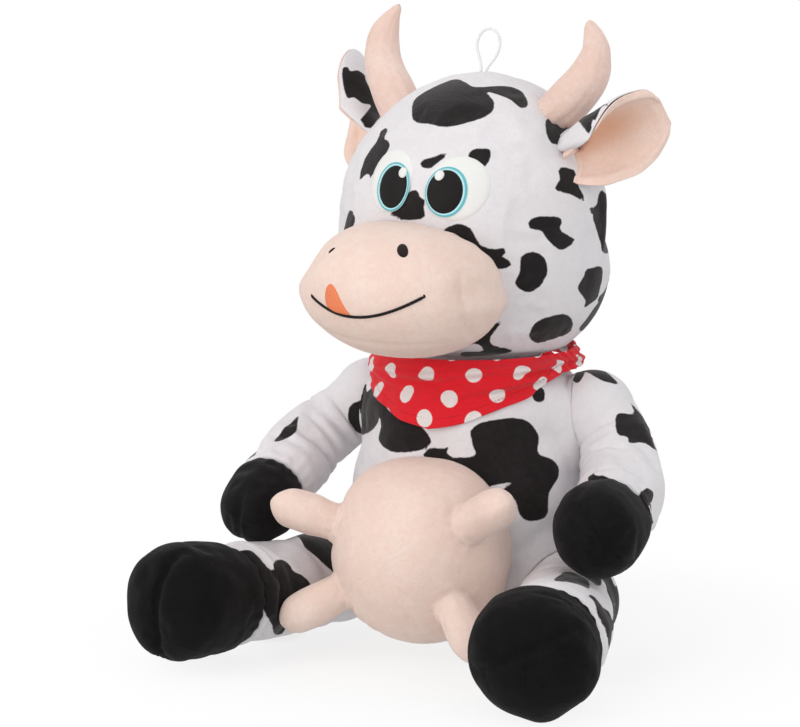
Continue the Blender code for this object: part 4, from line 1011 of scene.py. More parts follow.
def stitched_line(name, line, half, high, material, nodes):
    """A raised line of stitches along (x, z) points on the muzzle."""
    line = resample(line, 0.9)
    step = np.gradient(line, axis=0)
    across = unit(np.stack([-step[:, 1], step[:, 0]], -1))
    lengths = np.concatenate([[0], np.cumsum(np.linalg.norm(np.diff(line, axis=0), axis=1))])
    taper = np.minimum(1, np.minimum(lengths, lengths[-1] - lengths) / 2.0 + 0.35)
    rope = 1 + 0.08 * np.sin(lengths * 2 * math.pi / 2.4)
    rings, flat = [], []
    for i in range(len(line)):
        row = []
        for a in np.linspace(0, 2 * math.pi, 12, endpoint=False):
            q = line[i] + across[i] * math.cos(a) * half * taper[i] * rope[i]
            point, out = on_muzzle(q[0], q[1])
            row.append(point + out * (0.15 + high * (0.5 + 0.5 * math.sin(a)) * taper[i] - 0.3))
            flat.append((math.cos(a) * half, lengths[i]))
        rings.append(row)
    skin = lofted(np.array(rings))
    skin.points = from_head(skin.points)
    obj = bake_down(name, skin, [material], uv=np.array([*flat, (0, 0), (0, lengths[-1])]))
    settle(obj, "head", nodes)


mouth_x = np.linspace(-39.0, 40.4, 60)
stitched_line("mouth_line", np.stack([mouth_x, mouth_height(mouth_x)], -1), 0.95, 1.2, satin_black, ("mouth_stitching",))
stitched_line("mouth_corner", drawn_on_muzzle([(423.3, 294.6), (424.1, 296.2), (424.7, 298.2)]), 0.62, 1.1, satin_black, ())
tongue_line = drawn_on_muzzle([(325.0, 298.3), (325.5, 290.8), (327.3, 286.0), (330.3, 283.8), (333.4, 285.5), (336.7, 291.2), (341.7, 301.7), (346.0, 309.5), (350.5, 315.6), (344.5, 315.4), (335.0, 312.6), (327.3, 306.8)])
pad("tongue_pad", rounded_outline(tongue_line, 6), tongue_line.mean(0) + [-1.0, -1.5], on_muzzle, -0.2, 1.05, satin_orange, ("tongue",), rings=8)


# ------------------------------------------------------------------ horns
def tube_rings(centres, directions, lean, radii, count):
    """Rings about a path, with the angle 0 on the lean side."""
    up = unit(np.cross(directions, lean))
    side = np.cross(up, directions)
    a = np.linspace(0, 2 * math.pi, count, endpoint=False)
    radii = np.asarray(radii, float)
    if radii.ndim == 1:
        radii = radii[:, None]
    around = np.cos(a)[None, :, None] * side[:, None] + np.sin(a)[None, :, None] * up[:, None]
    return centres[:, None] + around * radii[..., None]


def smooth_profile(points, step, mirror_start=False, mirror_end=True):
    """Evenly spaced (length, radius) stations on a smooth line through the rows. A mirrored end closes round."""
    p = np.asarray(points, float)
    flip = np.array([1.0, -1.0])
    before = p[1] * flip if mirror_start else 2 * p[0] - p[1]
    after = p[-2] * flip if mirror_end else 2 * p[-1] - p[-2]
    p = np.vstack([before, p, after])
    dense = []
    for i in range(1, len(p) - 2):
        a, b, c, d = p[i - 1 : i + 3]
        # centripetal spacing keeps the line from looping where the rows are uneven
        k1, k2, k3 = (max(np.linalg.norm(y - x), 1e-6) ** 0.5 for x, y in ((a, b), (b, c), (c, d)))
        for t in np.linspace(0, 1, 40, endpoint=False):
            x = k1 + t * k2
            t0, t1, t2, t3 = 0, k1, k1 + k2, k1 + k2 + k3
            a1 = (t1 - x) / (t1 - t0) * a + (x - t0) / (t1 - t0) * b
            a2 = (t2 - x) / (t2 - t1) * b + (x - t1) / (t2 - t1) * c
            a3 = (t3 - x) / (t3 - t2) * c + (x - t2) / (t3 - t2) * d
            b1 = (t2 - x) / (t2 - t0) * a1 + (x - t0) / (t2 - t0) * a2
            b2 = (t3 - x) / (t3 - t1) * a2 + (x - t1) / (t3 - t1) * a3
            dense.append((t2 - x) / (t2 - t1) * b1 + (x - t1) / (t2 - t1) * b2)
    dense.append(p[-2])
    return resample(np.array(dense), step)


HORN_RADII = {
    "left": ((0, 13.7), (16, 14.0), (25, 14.8), (36, 14.6), (47, 13.9), (56, 12.7), (65, 10.6), (75, 7.7), (82, 5.2)),
    "right": ((0, 15.5), (16, 15.6), (26, 15.2), (37, 14.4), (47, 13.4), (55, 12.4), (66, 10.5), (76, 7.2), (83, 4.6)),
}


def horn(side):
    path = HORN_PATHS[side]
    total = path[1][-1]
    stations = smooth_profile([*HORN_RADII[side], (total - 2.4, 3.0), (total, 0)], 1.8)
    s, r = stations[:-1, 0], stations[:-1, 1]
    centres, directions = along(path, s)
    count = 64
    a = np.linspace(0, 2 * math.pi, count, endpoint=False)
    pucker = np.exp(-np.maximum(s - 17, 0) / 8)[:, None] * (0.5 + 0.5 * np.cos(11 * a + 1.3 * np.sin(2 * a)))[None]
    seam = bump((a - math.pi * 1.25 + math.pi) % (2 * math.pi) - math.pi, 0, 0.09)[None] * smooth(s, 10, 24)[:, None]
    radii = r[:, None] * (1 - 0.045 * pucker) - 0.55 * seam * (0.7 + 0.3 * np.cos(s * 2 * math.pi / 5))[:, None]
    skin = lofted(tube_rings(centres, directions, np.array([0.0, 1.0, 0.0]), radii, count), None, along(path, total)[0][0])
    p = skin.points
    skin.push(smooth(np.linalg.norm(p - centres[0], axis=1), 20, 40) * (waves(p, 36, 9) * 0.4 + waves(p, 15, 10) * 0.14))
    skin.points = from_head(skin.points)
    settle(bake_down(f"horn_plush_{side}", skin, [horn_plush]), "head", (f"horn_skin_{side}", f"horn_filling_{side}"))


for side in ("left", "right"):
    horn(side)

# ------------------------------------------------------------------ ears
EAR_ROOT = {"left": (78, -20, 53), "right": (-83, 9, 39.5)}
EAR_TIP = {"left": (132, -3.8, 83.2), "right": (-123, 37.5, 100.5)}
EAR_FACING = {"left": (0.35, -0.85, -0.35), "right": (-0.7, -0.62, -0.2)}
EAR_HALF_WIDTH = {
    "left": (((-0.3, 60), (0, 60), (0.15, 57), (0.35, 45.5), (0.55, 37), (0.75, 30.3), (0.9, 24.5), (0.97, 18), (1.0, 11)),
             ((-0.3, 22), (0, 26), (0.15, 33), (0.35, 37.5), (0.55, 36.5), (0.75, 30.5), (0.9, 21), (0.97, 14.5), (1.0, 9))),
    "right": (((-0.3, 42), (0, 44), (0.15, 46), (0.35, 45), (0.55, 45), (0.75, 38.5), (0.9, 27.5), (0.97, 18), (1.0, 10)),
              ((-0.3, 24), (0, 30), (0.15, 40), (0.35, 46), (0.55, 39), (0.75, 28), (0.9, 19), (0.97, 13), (1.0, 8))),
}
EAR_BEND = {
    "left": (((-0.3, 140), (0, 140), (0.15, 138), (0.3, 120), (0.45, 98), (0.6, 76), (0.85, 47), (1.0, 25)), ((-0.3, 105), (0, 105), (0.3, 85), (0.6, 55), (0.85, 35), (1.0, 15))),
    "right": (((-0.3, 105), (0, 105), (0.3, 115), (0.6, 102), (0.85, 74), (1.0, 38)), ((-0.3, 110), (0, 110), (0.3, 92), (0.6, 70), (0.85, 40), (1.0, 20))),
}
EAR_RISE = {"left": 1.8, "right": -3.0}
EAR_BOW = {"left": 2.0, "right": 6.5}
EAR_SHEAR = {"left": (6.0, 12.0), "right": (14.0, 12.0)}


def ear_grid(side, u0, u1, rows, columns, grow=0.0, lift=0.0, roll=0.0):
    """Middle surface of an ear: a leaf rolled hard on the horn's side and opened on the lower one. Also u and v."""
    root, tip = np.array(EAR_ROOT[side], float), np.array(EAR_TIP[side], float)
    length = np.linalg.norm(tip - root)
    axis = (tip - root) / length
    facing = np.array(EAR_FACING[side])
    facing = unit(facing - axis * facing.dot(axis))
    across = np.cross(axis, facing)
    across = across if across[2] > 0 else -across
    spread = np.linspace(0, 1, rows)
    spread = spread + 0.12 * np.sin(2 * math.pi * spread) / (2 * math.pi)
    u = (u0 + (u1 - u0) * spread)[:, None] + np.zeros((1, columns))
    v = np.linspace(-1, 1, columns)[None] + np.zeros((rows, 1))
    upper = v > 0
    pick = lambda table: np.where(upper, curve_through(*zip(*table[side][0]), u), curve_through(*zip(*table[side][1]), u))
    half, bend = pick(EAR_HALF_WIDTH), np.radians(pick(EAR_BEND))
    radius = half / bend
    turn = bend * np.abs(v) * (half + grow) / half
    out = across * (np.sin(turn) * np.where(upper, 1, -1))[..., None]
    wave = np.sin(math.pi * np.maximum(u, 0))
    # the sewn edge is fuller than the middle, and the whole sheet ripples a little
    edge = np.abs(v)
    full = lift * (1 - 0.55 * np.maximum(smooth(edge, 0.84, 1.0), smooth(u, 0.86, 1.0))) + roll * np.exp(-(((edge - 0.86) / 0.1) ** 2)) * smooth(u, 0.0, 0.15) * np.where(upper, 1, 0.55) + roll * 0.5 * np.exp(-(((u - 0.93) / 0.05) ** 2)) * (1 - smooth(edge, 0.75, 0.9))
    full = full + 0.7 * np.sin(6.0 * u + 2.2 * v) * smooth(edge, 0.3, 1.0) * smooth(u, 0.1, 0.3)
    shear = np.where(upper, EAR_SHEAR[side][0], EAR_SHEAR[side][1]) * v * (1 - u)
    spine = root + axis * (length * u + shear)[..., None] + across * (EAR_RISE[side] * wave)[..., None] - facing * (EAR_BOW[side] * wave)[..., None]
    p = spine + (out + facing * (1 - np.cos(turn))[..., None]) * radius[..., None] + (facing * np.cos(turn)[..., None] - out) * full[..., None]
    begins = -0.1 + 0.15 * smooth(v, -0.1, 0.4)
    shape = np.array([HEAD_R, HEAD_R, HEAD_H])
    if side == "left":
        # the rolled side of the left ear turns back to the head beside the horn
        near = from_head(p.reshape(-1, 3)) @ RIGHT
        start = 61.0 + (5.0 if lift else 0.0)
        free = smooth(near, start, start + 5).reshape(u.shape)
        inward = unit(np.array([0.39, -0.918, 0.067]))
        a, b = inward / shape, p / shape
        along_it = b @ a
        under = along_it**2 - (a @ a) * ((b * b).sum(-1) - 0.955**2)
        run = (along_it - np.sqrt(np.maximum(under, 0))) / (a @ a)
        share = np.maximum((1 - free) * smooth(v, -0.02, 0.1), (1 - smooth(u, 0.03, 0.11)) * smooth(v, -0.12, 0.02))
        met = smooth(under / (a @ a), 0.0, 0.12)
        run = np.clip(run, 0, 12 + 78 * met)
        p = p - inward * (run * share)[..., None]
        pull = np.minimum(1, 0.955 / np.linalg.norm(p / shape, axis=-1))
        p = p * (1 + (pull - 1) * share * (1 - met))[..., None]
        begins = -0.1 + 0 * v
    # the base runs down onto the head and is sewn in just under its skin
    level = np.clip((u - begins) / 0.14, 0, 1)
    level = level * level * (3 - 2 * level)
    depth = np.linalg.norm(p / np.array([HEAD_R, HEAD_R, HEAD_H]), axis=-1)
    lowest = 0.955 + (0.06 if lift else 0.041) * level
    wanted = np.where(depth < lowest, lowest, depth * level + lowest * (1 - level))
    return p * (wanted / depth)[..., None], u, v


def ear(side):
    grid, u, v = ear_grid(side, -0.12, 0.99, 60, 84, -0.9)
    back = slab(grid, 2.2)
    back.points = from_head(back.points)
    if side == "left":
        seen = [[(607.3, 103.5), (604.6, 105.4), (601, 108), (597, 116.8), (595, 120.4), (592.9, 119.8), (592, 123.3), (591, 129), (589, 134), (590.5, 136), (594, 130.4), (598.8, 120.4), (606.4, 108)]]
        blobs = [((124, 24, 328), 7, 62, 1.1)]
    else:
        seen = [[(342.3, 71.4), (343.4, 67.5), (347.3, 67), (350.7, 70.9), (356.3, 70.1), (361.8, 72.5), (365.2, 75.9), (365.7, 79.8), (373, 94.9), (380.8, 112.7), (380.2, 116.6), (369.6, 129.5), (367.4, 130), (360.7, 121), (362.4, 117.2), (370.8, 106), (361.8, 103.2), (354, 97.7), (347.3, 97.7), (343.4, 84.8)]]
        blobs = [((-112, 46, 350), 9, 63, 1.2)]
    print_patches(back, seen, blobs)
    settle(bake_down(f"ear_back_plush_{side}", back, [white_plush]), f"ear_{side}", (f"ear_back_{side}",))
    # the lining is softer, so it stands a little past the seam and rounds over it
    grid, u, v = ear_grid(side, -0.115, 1.008, 60, 84, 0.6, 2.3, 2.2)
    lining = slab(grid, 2.6, 9.0, 0.2)
    lining.points = from_head(lining.points)
    # painted shade: the hollow values darken the lining along its middle from the root, fading towards the tip, more on
    # the left ear than on the right
    deep = np.exp(-(((v - 0.14) / 0.40) ** 2)) * (1 - smooth(u, 0.4, 0.98)) * smooth(u, -0.1, 0.1)
    lining.values["hollow"] = np.concatenate([deep.ravel(), deep.ravel()]) * (0.8 if side == "left" else 0.3)
    settle(bake_down(f"ear_lining_plush_{side}", lining, [lining_plush]), f"ear_{side}", (f"ear_lining_{side}",))


for side in ("left", "right"):
    ear(side)


# ------------------------------------------------------------------ arms and legs
ARM_RADII = {
    "left": ((30, 24.6), (60, 27), (96, 28), (108, 27.2), (110.6, 25.8)),
    "right": ((30, 24), (60, 25), (96, 26), (108, 25.2), (110.6, 24.0)),
}
FORE_RADII = {
    "left": ((111.3, 25.4), (113.5, 27.4), (119, 29.3), (127, 30.3), (140, 30.3), (151, 27), (158, 19.5), (163, 0)),
    "right": ((111.3, 23.8), (113.5, 25.3), (119, 26.4), (127, 26.6), (140, 24.8), (151, 20.5), (158, 14), (162, 0)),
}
LEG_RADII = {
    "left": ((14, 31), (40, 32.5), (75, 33), (100, 32.8), (103.6, 31.2)),
    "right": ((14, 31), (40, 32.5), (75, 33), (100, 32.8), (103.6, 31.2)),
}
HIND_RADII = {
    "left": ((104.3, 31.4), (106.5, 33.0), (113, 34.8), (124, 37.6), (142, 39.8), (158, 38.5), (170, 31.5), (177, 20.5), (181.5, 0)),
    "right": ((104.3, 31.2), (106.5, 32.4), (113, 33.8), (124, 36.0), (142, 38.0), (158, 36.8), (170, 30.5), (177, 20), (181.5, 0)),
}


def limb_frame(path, s):
    """Centres and ring directions of a limb: the ball's axis eases into the tube's."""
    d0 = along(path, 0)[1][0]
    centres, directions = along(path, s)
    share = np.clip(s, 0, 30)[:, None]
    eased = unit(d0 * (30 - share) + directions * share)
    directions = np.where(s[:, None] < 30, eased, directions)
    centres = np.where(s[:, None] < 0, path[0][0] + d0 * np.minimum(s, 0)[:, None], centres)
    return centres, directions


def sleeve(name, side, points, radii, ball, cuff, folds, seen, blobs, nodes, body, seed):
    path = path_through(points)
    sphere = [(-ball * math.cos(math.radians(a)), ball * math.sin(math.radians(a))) for a in range(4, 91, 4)]
    r0 = radii[0][1]
    neck_s = math.sqrt(ball**2 - (24.0 if ball < 30 else 31.0) ** 2)
    sphere += [(s, math.sqrt(ball**2 - s * s)) for s in np.linspace(1.5, neck_s * 0.75, 4)]
    first = [(neck_s + 5, r0 + 0.2)] if radii[0][0] > neck_s + 6 else []
    stations = smooth_profile([*sphere, *first, *[row for row in radii if row[0] > neck_s + 6]], 2.5, mirror_end=False)
    s, r = stations[:, 0], stations[:, 1]
    centres, directions = limb_frame(path, s)
    count = 84
    a = np.linspace(0, 2 * math.pi, count, endpoint=False)
    gathers = np.exp(-(cuff - s) / 7.0)[:, None] * (0.5 + 0.5 * np.cos(17 * a + 1.5 * np.sin(3 * a + seed)))[None]
    ring_r = r[:, None] - 1.3 * gathers * (s > 30)[:, None]
    rings = tube_rings(centres, directions, np.array([0.0, 0.0, 1.0]), ring_r, count)
    skin = lofted(rings, path[0][0] - directions[0] * ball, None)
    s_all = np.concatenate([np.repeat(s, count), [-ball, cuff]])
    a_all = np.concatenate([np.tile(a, len(s)), [0, 0]])
    p = skin.points
    free = smooth(s_all, neck_s + 4, neck_s + 22) * (1 - smooth(s_all, cuff - 9, cuff - 1))
    amount = free * (waves(p, 60, seed) * 0.7 + waves(p, 22, seed + 1) * 0.3)
    for at, angle, width, span, depth, slant in folds:
        turn = (a_all - math.radians(angle) + math.pi) % (2 * math.pi) - math.pi
        line = at + slant * np.sin(turn)
        shape = np.exp(-((s_all - line) / width) ** 2) - 0.45 * np.exp(-((s_all - line - 2.3 * width) / (1.3 * width)) ** 2) - 0.45 * np.exp(-((s_all - line + 2.3 * width) / (1.3 * width)) ** 2)
        amount -= depth * shape * np.exp(-((turn / math.radians(span)) ** 4)) * smooth(s_all, neck_s, neck_s + 8)
    # the lengthwise seam on the underside
    turn = (a_all - math.pi + math.pi) % (2 * math.pi) - math.pi
    amount -= free * 0.8 * np.exp(-((turn / 0.05) ** 2)) * (0.7 + 0.3 * np.cos(s_all * 2 * math.pi / 6))
    if side == "left" and cuff == ARM_CUFF:
        amount -= flattened(p, path, s_all, RIGHT, 2.2) * smooth(s_all, 70, 98)
    skin.push(amount)
    hold = np.maximum(1 - smooth(s_all, neck_s + 6, neck_s + 14), smooth(s_all, cuff - 7, cuff - 3))
    relax_cloth(skin, (hold > 0.5).astype(float), pressure=0.9, shrink=-0.03, cap=2.0)
    print_patches(skin, seen, blobs)
    settle(bake_down(name, skin, [white_plush]), body, nodes)
    return path


def flattened(points, path, s, toward, amount):
    """How much a limb is pressed in on the side that faces one direction."""
    away = unit(points - along(path, s)[0])
    return amount * smooth(away @ unit(np.array(toward, float)), -0.15, 0.95)


def hoof(name, side, path, radii, cuff, cleft, nodes, body, seed, material=None):
    stations = smooth_profile(radii, 2.3)
    s, r = stations[:-1, 0], stations[:-1, 1]
    centres, directions = limb_frame(path, s)
    count = 96
    a = np.linspace(0, 2 * math.pi, count, endpoint=False)
    gathers = np.exp(-(s - cuff) / 5.0)[:, None] * (0.5 + 0.5 * np.cos(19 * a + 1.7 * np.sin(3 * a + seed)))[None]
    ring_r = r[:, None] - 1.4 * gathers
    rings = tube_rings(centres, directions, np.array([0.0, 0.0, 1.0]), ring_r, count)
    end, end_direction = along(path, radii[-1][0])
    skin = lofted(rings, None, end[0])
    p = skin.points
    s_all = np.concatenate([np.repeat(s, count), [cuff, radii[-1][0]]])
    r_all = np.concatenate([np.repeat(r, count), [0, 0]])
    a_all = np.concatenate([np.tile(a, len(s)), [0, 0]])
    roll, offset, depth, width, start = cleft
    middle = centres[len(s) // 2]
    up = unit(np.cross(directions[-1], [0.0, 0.0, 1.0]))
    vertical = np.cross(up, directions[-1])
    across = up * math.cos(math.radians(roll)) + vertical * math.sin(math.radians(roll))
    delta = (p - end[0]) @ across - offset
    grow = smooth(s_all, start, start + 14)
    puckers = 1 + 0.22 * np.cos(s_all * 2 * math.pi / 6.5 + seed) * np.exp(-np.abs(delta) / 7)
    amount = -depth * np.exp(-np.abs(delta / width) ** 1.5) * grow * puckers
    amount += 0.28 * depth * grow * (1 - np.exp(-((delta / (width * 2.2)) ** 2))) * np.exp(-((delta / 26) ** 2))
    amount += smooth(s_all, cuff + 2, cuff + 12) * (waves(p, 36, seed) * 0.7 + waves(p, 15, seed + 1) * 0.3)
    if side == "left":
        # the nearer hooves are pressed flatter on their outer, upper side
        hind = cuff == LEG_CUFF
        amount -= flattened(p, path, s_all, RIGHT + (0, 0, 0.75 if hind else 0.0), 4.2 if hind else 3.0) * (1 - smooth(s_all, 142, 174)) * (smooth(s_all, cuff, cuff + 6) if hind else 1.0)
    skin.push(amount)
    hold = (s_all < cuff + 5) | (np.abs(delta) < width) & (grow > 0.4)
    relax_cloth(skin, hold.astype(float), pressure=1.0, shrink=-0.02, cap=1.6)
    settle(bake_down(name, skin, [material or velvet]), body, nodes)


# fold rows: place along the limb, angle round it (0 on top, 90 towards -X), half width, span, depth, slant
ARM_FOLDS = {
    "left": [(38, 80, 3.2, 55, 1.5, 3), (52, 95, 3.0, 60, 2.0, -3), (66, 85, 3.2, 50, 1.6, 4), (82, 100, 3.4, 45, 1.1, -4), (97, 60, 3.0, 50, 0.8, 3)],
    "right": [(38, -80, 3.2, 55, 1.5, 3), (54, -95, 3.0, 60, 1.9, -3), (70, -85, 3.2, 50, 1.5, 4), (88, -60, 3.4, 60, 0.9, -4)],
}
LEG_FOLDS = {
    "left": [(40, 60, 4.0, 60, 1.4, 4), (92, 20, 2.8, 70, 1.3, 3), (84, 95, 3.0, 50, 1.0, -4)],
    "right": [(44, -60, 4.0, 60, 1.4, 4), (96, 0, 2.6, 80, 1.6, 3), (87, -40, 2.8, 60, 1.3, -4), (78, -90, 3.0, 50, 0.9, 3)],
}
ARM_SEEN = {
    "left": [
        [(569, 375), (577, 383), (583, 377), (586, 372), (601, 380), (618, 384), (606, 372), (589, 363)],
        [(630, 402), (634, 414), (617, 414), (617, 433), (627, 437), (630, 443), (644, 443), (661, 453), (655, 438), (646, 421)],
    ],
    "right": [
        [(352, 404), (376, 399), (379, 421), (362, 434), (349, 421)],
        [(298, 416), (297.5, 424), (296, 432), (289, 437), (280, 441), (274, 441), (280, 434), (284, 428), (291, 423)],
        [(350, 452), (356, 455), (347, 473), (341, 470)],
    ],
}
ARM_BLOBS = {
    "left": [((112, 20, 132), 13, 71, 1.2), ((150, -70, 105), 11, 72, 1.2), ((126, -60, 72), 10, 73, 1.3), ((120, -100, 128), 8, 74, 1.1), ((90, 18, 182), 9, 75, 1.2)],
    "right": [((-115, 14, 140), 13, 76, 1.2), ((-152, -62, 112), 12, 77, 1.1), ((-124, -75, 78), 10, 78, 1.3), ((-92, 22, 180), 9, 79, 1.2)],
}
LEG_SEEN = {
    "left": [
        [(554.3, 580.7), (556.4, 577.1), (561.4, 574.3), (562.9, 572.1), (571.4, 572.1), (580, 575.7), (587.1, 580), (589.7, 586.4), (587.4, 588.3), (580, 585), (568.6, 582.1)],
        [(562.9, 560), (568.6, 556.4), (577.1, 558.6), (588.6, 565), (600, 577.1), (601.7, 582.9), (598.6, 586), (591.4, 581.4), (580, 573.6), (572.9, 567.9), (568.6, 561.1), (565, 560.5)],
        [(608.6, 586.4), (617.1, 585.7), (619.3, 580), (622.5, 594), (621, 611), (614.3, 625.7), (612.9, 630.7), (610, 627.1), (606.4, 633.1), (605, 631.4), (605.7, 624.3), (601.4, 610), (605, 607.9), (610, 621.4), (614.3, 614.3), (612.9, 609.3), (615, 605), (613.6, 594.3)],
    ],
    "right": [
        [(233.7, 554.2), (240.8, 550.8), (250, 550.3), (256.7, 555), (262, 561), (268, 568), (273.5, 570.5), (273.3, 564.2), (276.7, 560), (283.3, 560), (289.2, 564.2), (293.3, 570.8), (300, 574.2), (307.5, 580), (312.5, 588.3), (314, 597), (304, 604), (296.7, 608.3), (291.7, 615.8), (289.5, 622), (286.7, 624), (285, 630), (280.8, 634.2), (275.8, 634.7), (273.3, 631.7), (271.7, 624.2), (267.5, 618.3), (263.3, 610.8), (253.3, 605.8), (250.8, 591.7), (248.3, 580), (245, 569.2), (245.8, 564.2), (240, 557.5)],
        [(293.3, 535), (306.7, 530.8), (320, 528), (338, 528), (338, 572), (325, 565), (315, 555.8), (305, 547.5), (300.8, 540), (296.7, 536.3)],
        [(337, 636), (362, 619), (388, 636), (362, 642)],
    ],
}
LEG_BLOBS = {
    "left": [((122, -60, 40), 18, 81, 1.2), ((140, -120, 45), 13, 82, 1.1), ((104, -40, 66), 11, 83, 1.2), ((112, -90, 4), 14, 84, 1.2), ((95, -12, 30), 9, 85, 1.0)],
    "right": [((-122, -62, 42), 17, 86, 1.2), ((-142, -125, 48), 12, 87, 1.1), ((-104, -38, 62), 11, 88, 1.2), ((-110, -95, 4), 14, 89, 1.2)],
}
# a hoof's short stitched groove: roll of its plane, offset, depth, half width, start along the limb
FORE_CLEFT = {"left": (-40, -6, 1.5, 2.4, 140), "right": (8, 3, 1.0, 2.4, 142)}
HIND_CLEFT = {"left": (62, 6, 1.6, 2.6, 158), "right": (6, -4, 3.0, 3.2, 158)}
for number, side in enumerate(("left", "right")):
    path = sleeve(f"arm_plush_{side}", side, ARM_PATH[side], ARM_RADII[side], SHOULDER_BALL, ARM_CUFF, ARM_FOLDS[side], ARM_SEEN[side], ARM_BLOBS[side],
                  (f"arm_sleeve_{side}", f"arm_filling_{side}", f"shoulder_filling_{side}"), f"arm_{side}", 101 + 10 * number)
    hoof(f"fore_hoof_velvet_{side}", side, path, FORE_RADII[side], ARM_CUFF, FORE_CLEFT[side], (f"fore_hoof_{side}",), f"arm_{side}", 131 + 10 * number)
    path = sleeve(f"leg_plush_{side}", side, LEG_PATH[side], LEG_RADII[side], HIP_BALL, LEG_CUFF, LEG_FOLDS[side], LEG_SEEN[side], LEG_BLOBS[side],
                  (f"leg_sleeve_{side}", f"leg_filling_{side}", f"hip_filling_{side}"), f"leg_{side}", 161 + 10 * number)
    # the hind hooves wear the darker velvet copy, which is painted shade
    hoof(f"hind_hoof_velvet_{side}", side, path, HIND_RADII[side], LEG_CUFF, HIND_CLEFT[side], (f"hind_hoof_{side}",), f"leg_{side}", 191 + 10 * number, painted_shade_velvet)


# ------------------------------------------------------------------ udder and teats
TEAT_PROFILE = ((0.5, 14.1), (6, 12.9), (11, 12.8), (22, 13.8), (34, 13.5), (42, 11.8), (47.5, 7.6), (50.2, 3.2), (51, 0))


def udder():
    line = np.stack([np.sin(np.linspace(0.02, math.pi - 0.02, 300)), -np.cos(np.linspace(0.02, math.pi - 0.02, 300))], -1)
    line = resample(line * 60, 2.4) / 60
    turn = np.linspace(0, 2 * math.pi, 156, endpoint=False)
    a, b, c = UDDER_HALF
    rings = np.stack([a * line[:, :1] * np.cos(turn), b * line[:, 1:] + 0 * turn, c * line[:, :1] * np.sin(turn)], -1) + UDDER_CENTRE
    skin = lofted(rings, UDDER_CENTRE - [0, b, 0], UDDER_CENTRE + [0, b, 0])
    p = skin.points
    # the seams of the four teats pull its sides a little square
    v = (p - UDDER_CENTRE) / UDDER_HALF
    skin.push(2.6 * np.sin(2 * np.arctan2(v[:, 2], v[:, 0])) ** 2 * np.hypot(v[:, 0], v[:, 2]) ** 4 * smooth(-p[:, 1], 60, 84))
    skin.push(waves(p, 75, 15) * 0.8 + waves(p, 26, 16) * 0.25)
    # faint creases fan out below the middle
    for x, z, angle, length, depth in ((-24, 30, 68, 15, 0.8), (-16, 26, 82, 13, 0.7), (-31, 37, 55, 12, 0.6), (18, 24, 100, 12, 0.4), (30, 98, 40, 12, 0.4), (-34, 104, 140, 12, 0.45)):
        q = np.stack([p[:, 0] - x, p[:, 2] - z], -1)
        c1, s1 = math.cos(math.radians(angle)), math.sin(math.radians(angle))
        run, off = q @ [c1, s1], q @ [-s1, c1]
        off = off - 0.012 * run**2
        skin.push(-depth * np.exp(-((off / 1.7) ** 2) - (run / length) ** 4) * (p[:, 1] < -100))
    roots = []
    for name, direction in TEATS.items():
        root = UDDER_CENTRE + unit(direction) * 55.0
        roots.append(root)
        socket(skin, root, TEAT_BALL + 0.3, 7, 1.9, 9, 31 + len(roots))
    near = np.min([np.linalg.norm(skin.points - root, axis=1) for root in roots], axis=0)
    d = skin.points[:, 1] > -66
    relax_cloth(skin, ((near < TEAT_BALL + 4) | d).astype(float), pressure=0.9, shrink=-0.004, cap=0.45)
    settle(bake_down("udder_plush", skin, [pink_plush]), "torso", ("udder_skin", "udder_filling"))


def teat(name, direction, seed):
    direction = unit(direction)
    root = UDDER_CENTRE + direction * 55.0
    sphere = [(-TEAT_BALL * math.cos(math.radians(a)), TEAT_BALL * math.sin(math.radians(a))) for a in range(6, 86, 8)]
    stations = smooth_profile([*sphere, *TEAT_PROFILE], 1.5)
    s, r = stations[:-1, 0], stations[:-1, 1]
    count = 52
    a = np.linspace(0, 2 * math.pi, count, endpoint=False)
    gathers = bump(s, 8, 6)[:, None] * (0.5 + 0.5 * np.cos(9 * a + 1.4 * np.sin(2 * a + seed)))[None]
    seam = bump((a - math.pi * 0.5 + math.pi) % (2 * math.pi) - math.pi, 0, 0.1)[None] * smooth(s, 12, 22)[:, None]
    tip = bump(s, 46, 6)[:, None] * (0.5 + 0.5 * np.cos(6 * a + seed))[None]
    radii = r[:, None] - 0.8 * gathers - 0.4 * seam - 0.35 * tip
    centres = root + direction * s[:, None]
    skin = lofted(tube_rings(centres, np.repeat(direction[None], len(s), 0), np.array([0.0, 0.0, 1.0]), radii, count), root - direction * TEAT_BALL, root + direction * 51.0)
    p = skin.points
    skin.push(smooth((p - root) @ direction, 10, 20) * waves(p, 20, seed) * 0.35)
    label = name.replace("teat_", "")
    settle(bake_down(f"teat_plush_{label}", skin, [pink_plush]), name, (f"teat_skin_{label}", f"teat_filling_{label}"))


udder()
for number, (name, direction) in enumerate(TEATS.items()):
    teat(name, direction, 41 + number)

# ------------------------------------------------------------------ bandana
BANDANA_EDGE = ((0, 151), (15, 155), (30, 163), (50, 172), (75, 186), (115, 189.5), (180, 190))


def bandana_point(turn, share):
    """Outer face of the scarf: turn in degrees from the front towards the left side, share from the top edge down."""
    turn, share = np.broadcast_arrays(np.asarray(turn, float), np.asarray(share, float))
    edge = np.abs((turn + 180) % 360 - 180)
    low = curve_through(*zip(*BANDANA_EDGE), edge)
    top = 200.0 - 3.0 * np.cos(np.radians(turn))
    z = top + (low - top) * share
    r = np.maximum(torso_half(np.minimum(z, 189)) + 3.4, 75.0 - 4.5 * np.maximum(0, (z - 192) / 8))
    t = np.radians(turn)
    p = np.stack([r * np.sin(t), -r * (TORSO_DEPTH + 0.02) * np.cos(t), z], -1)
    return p


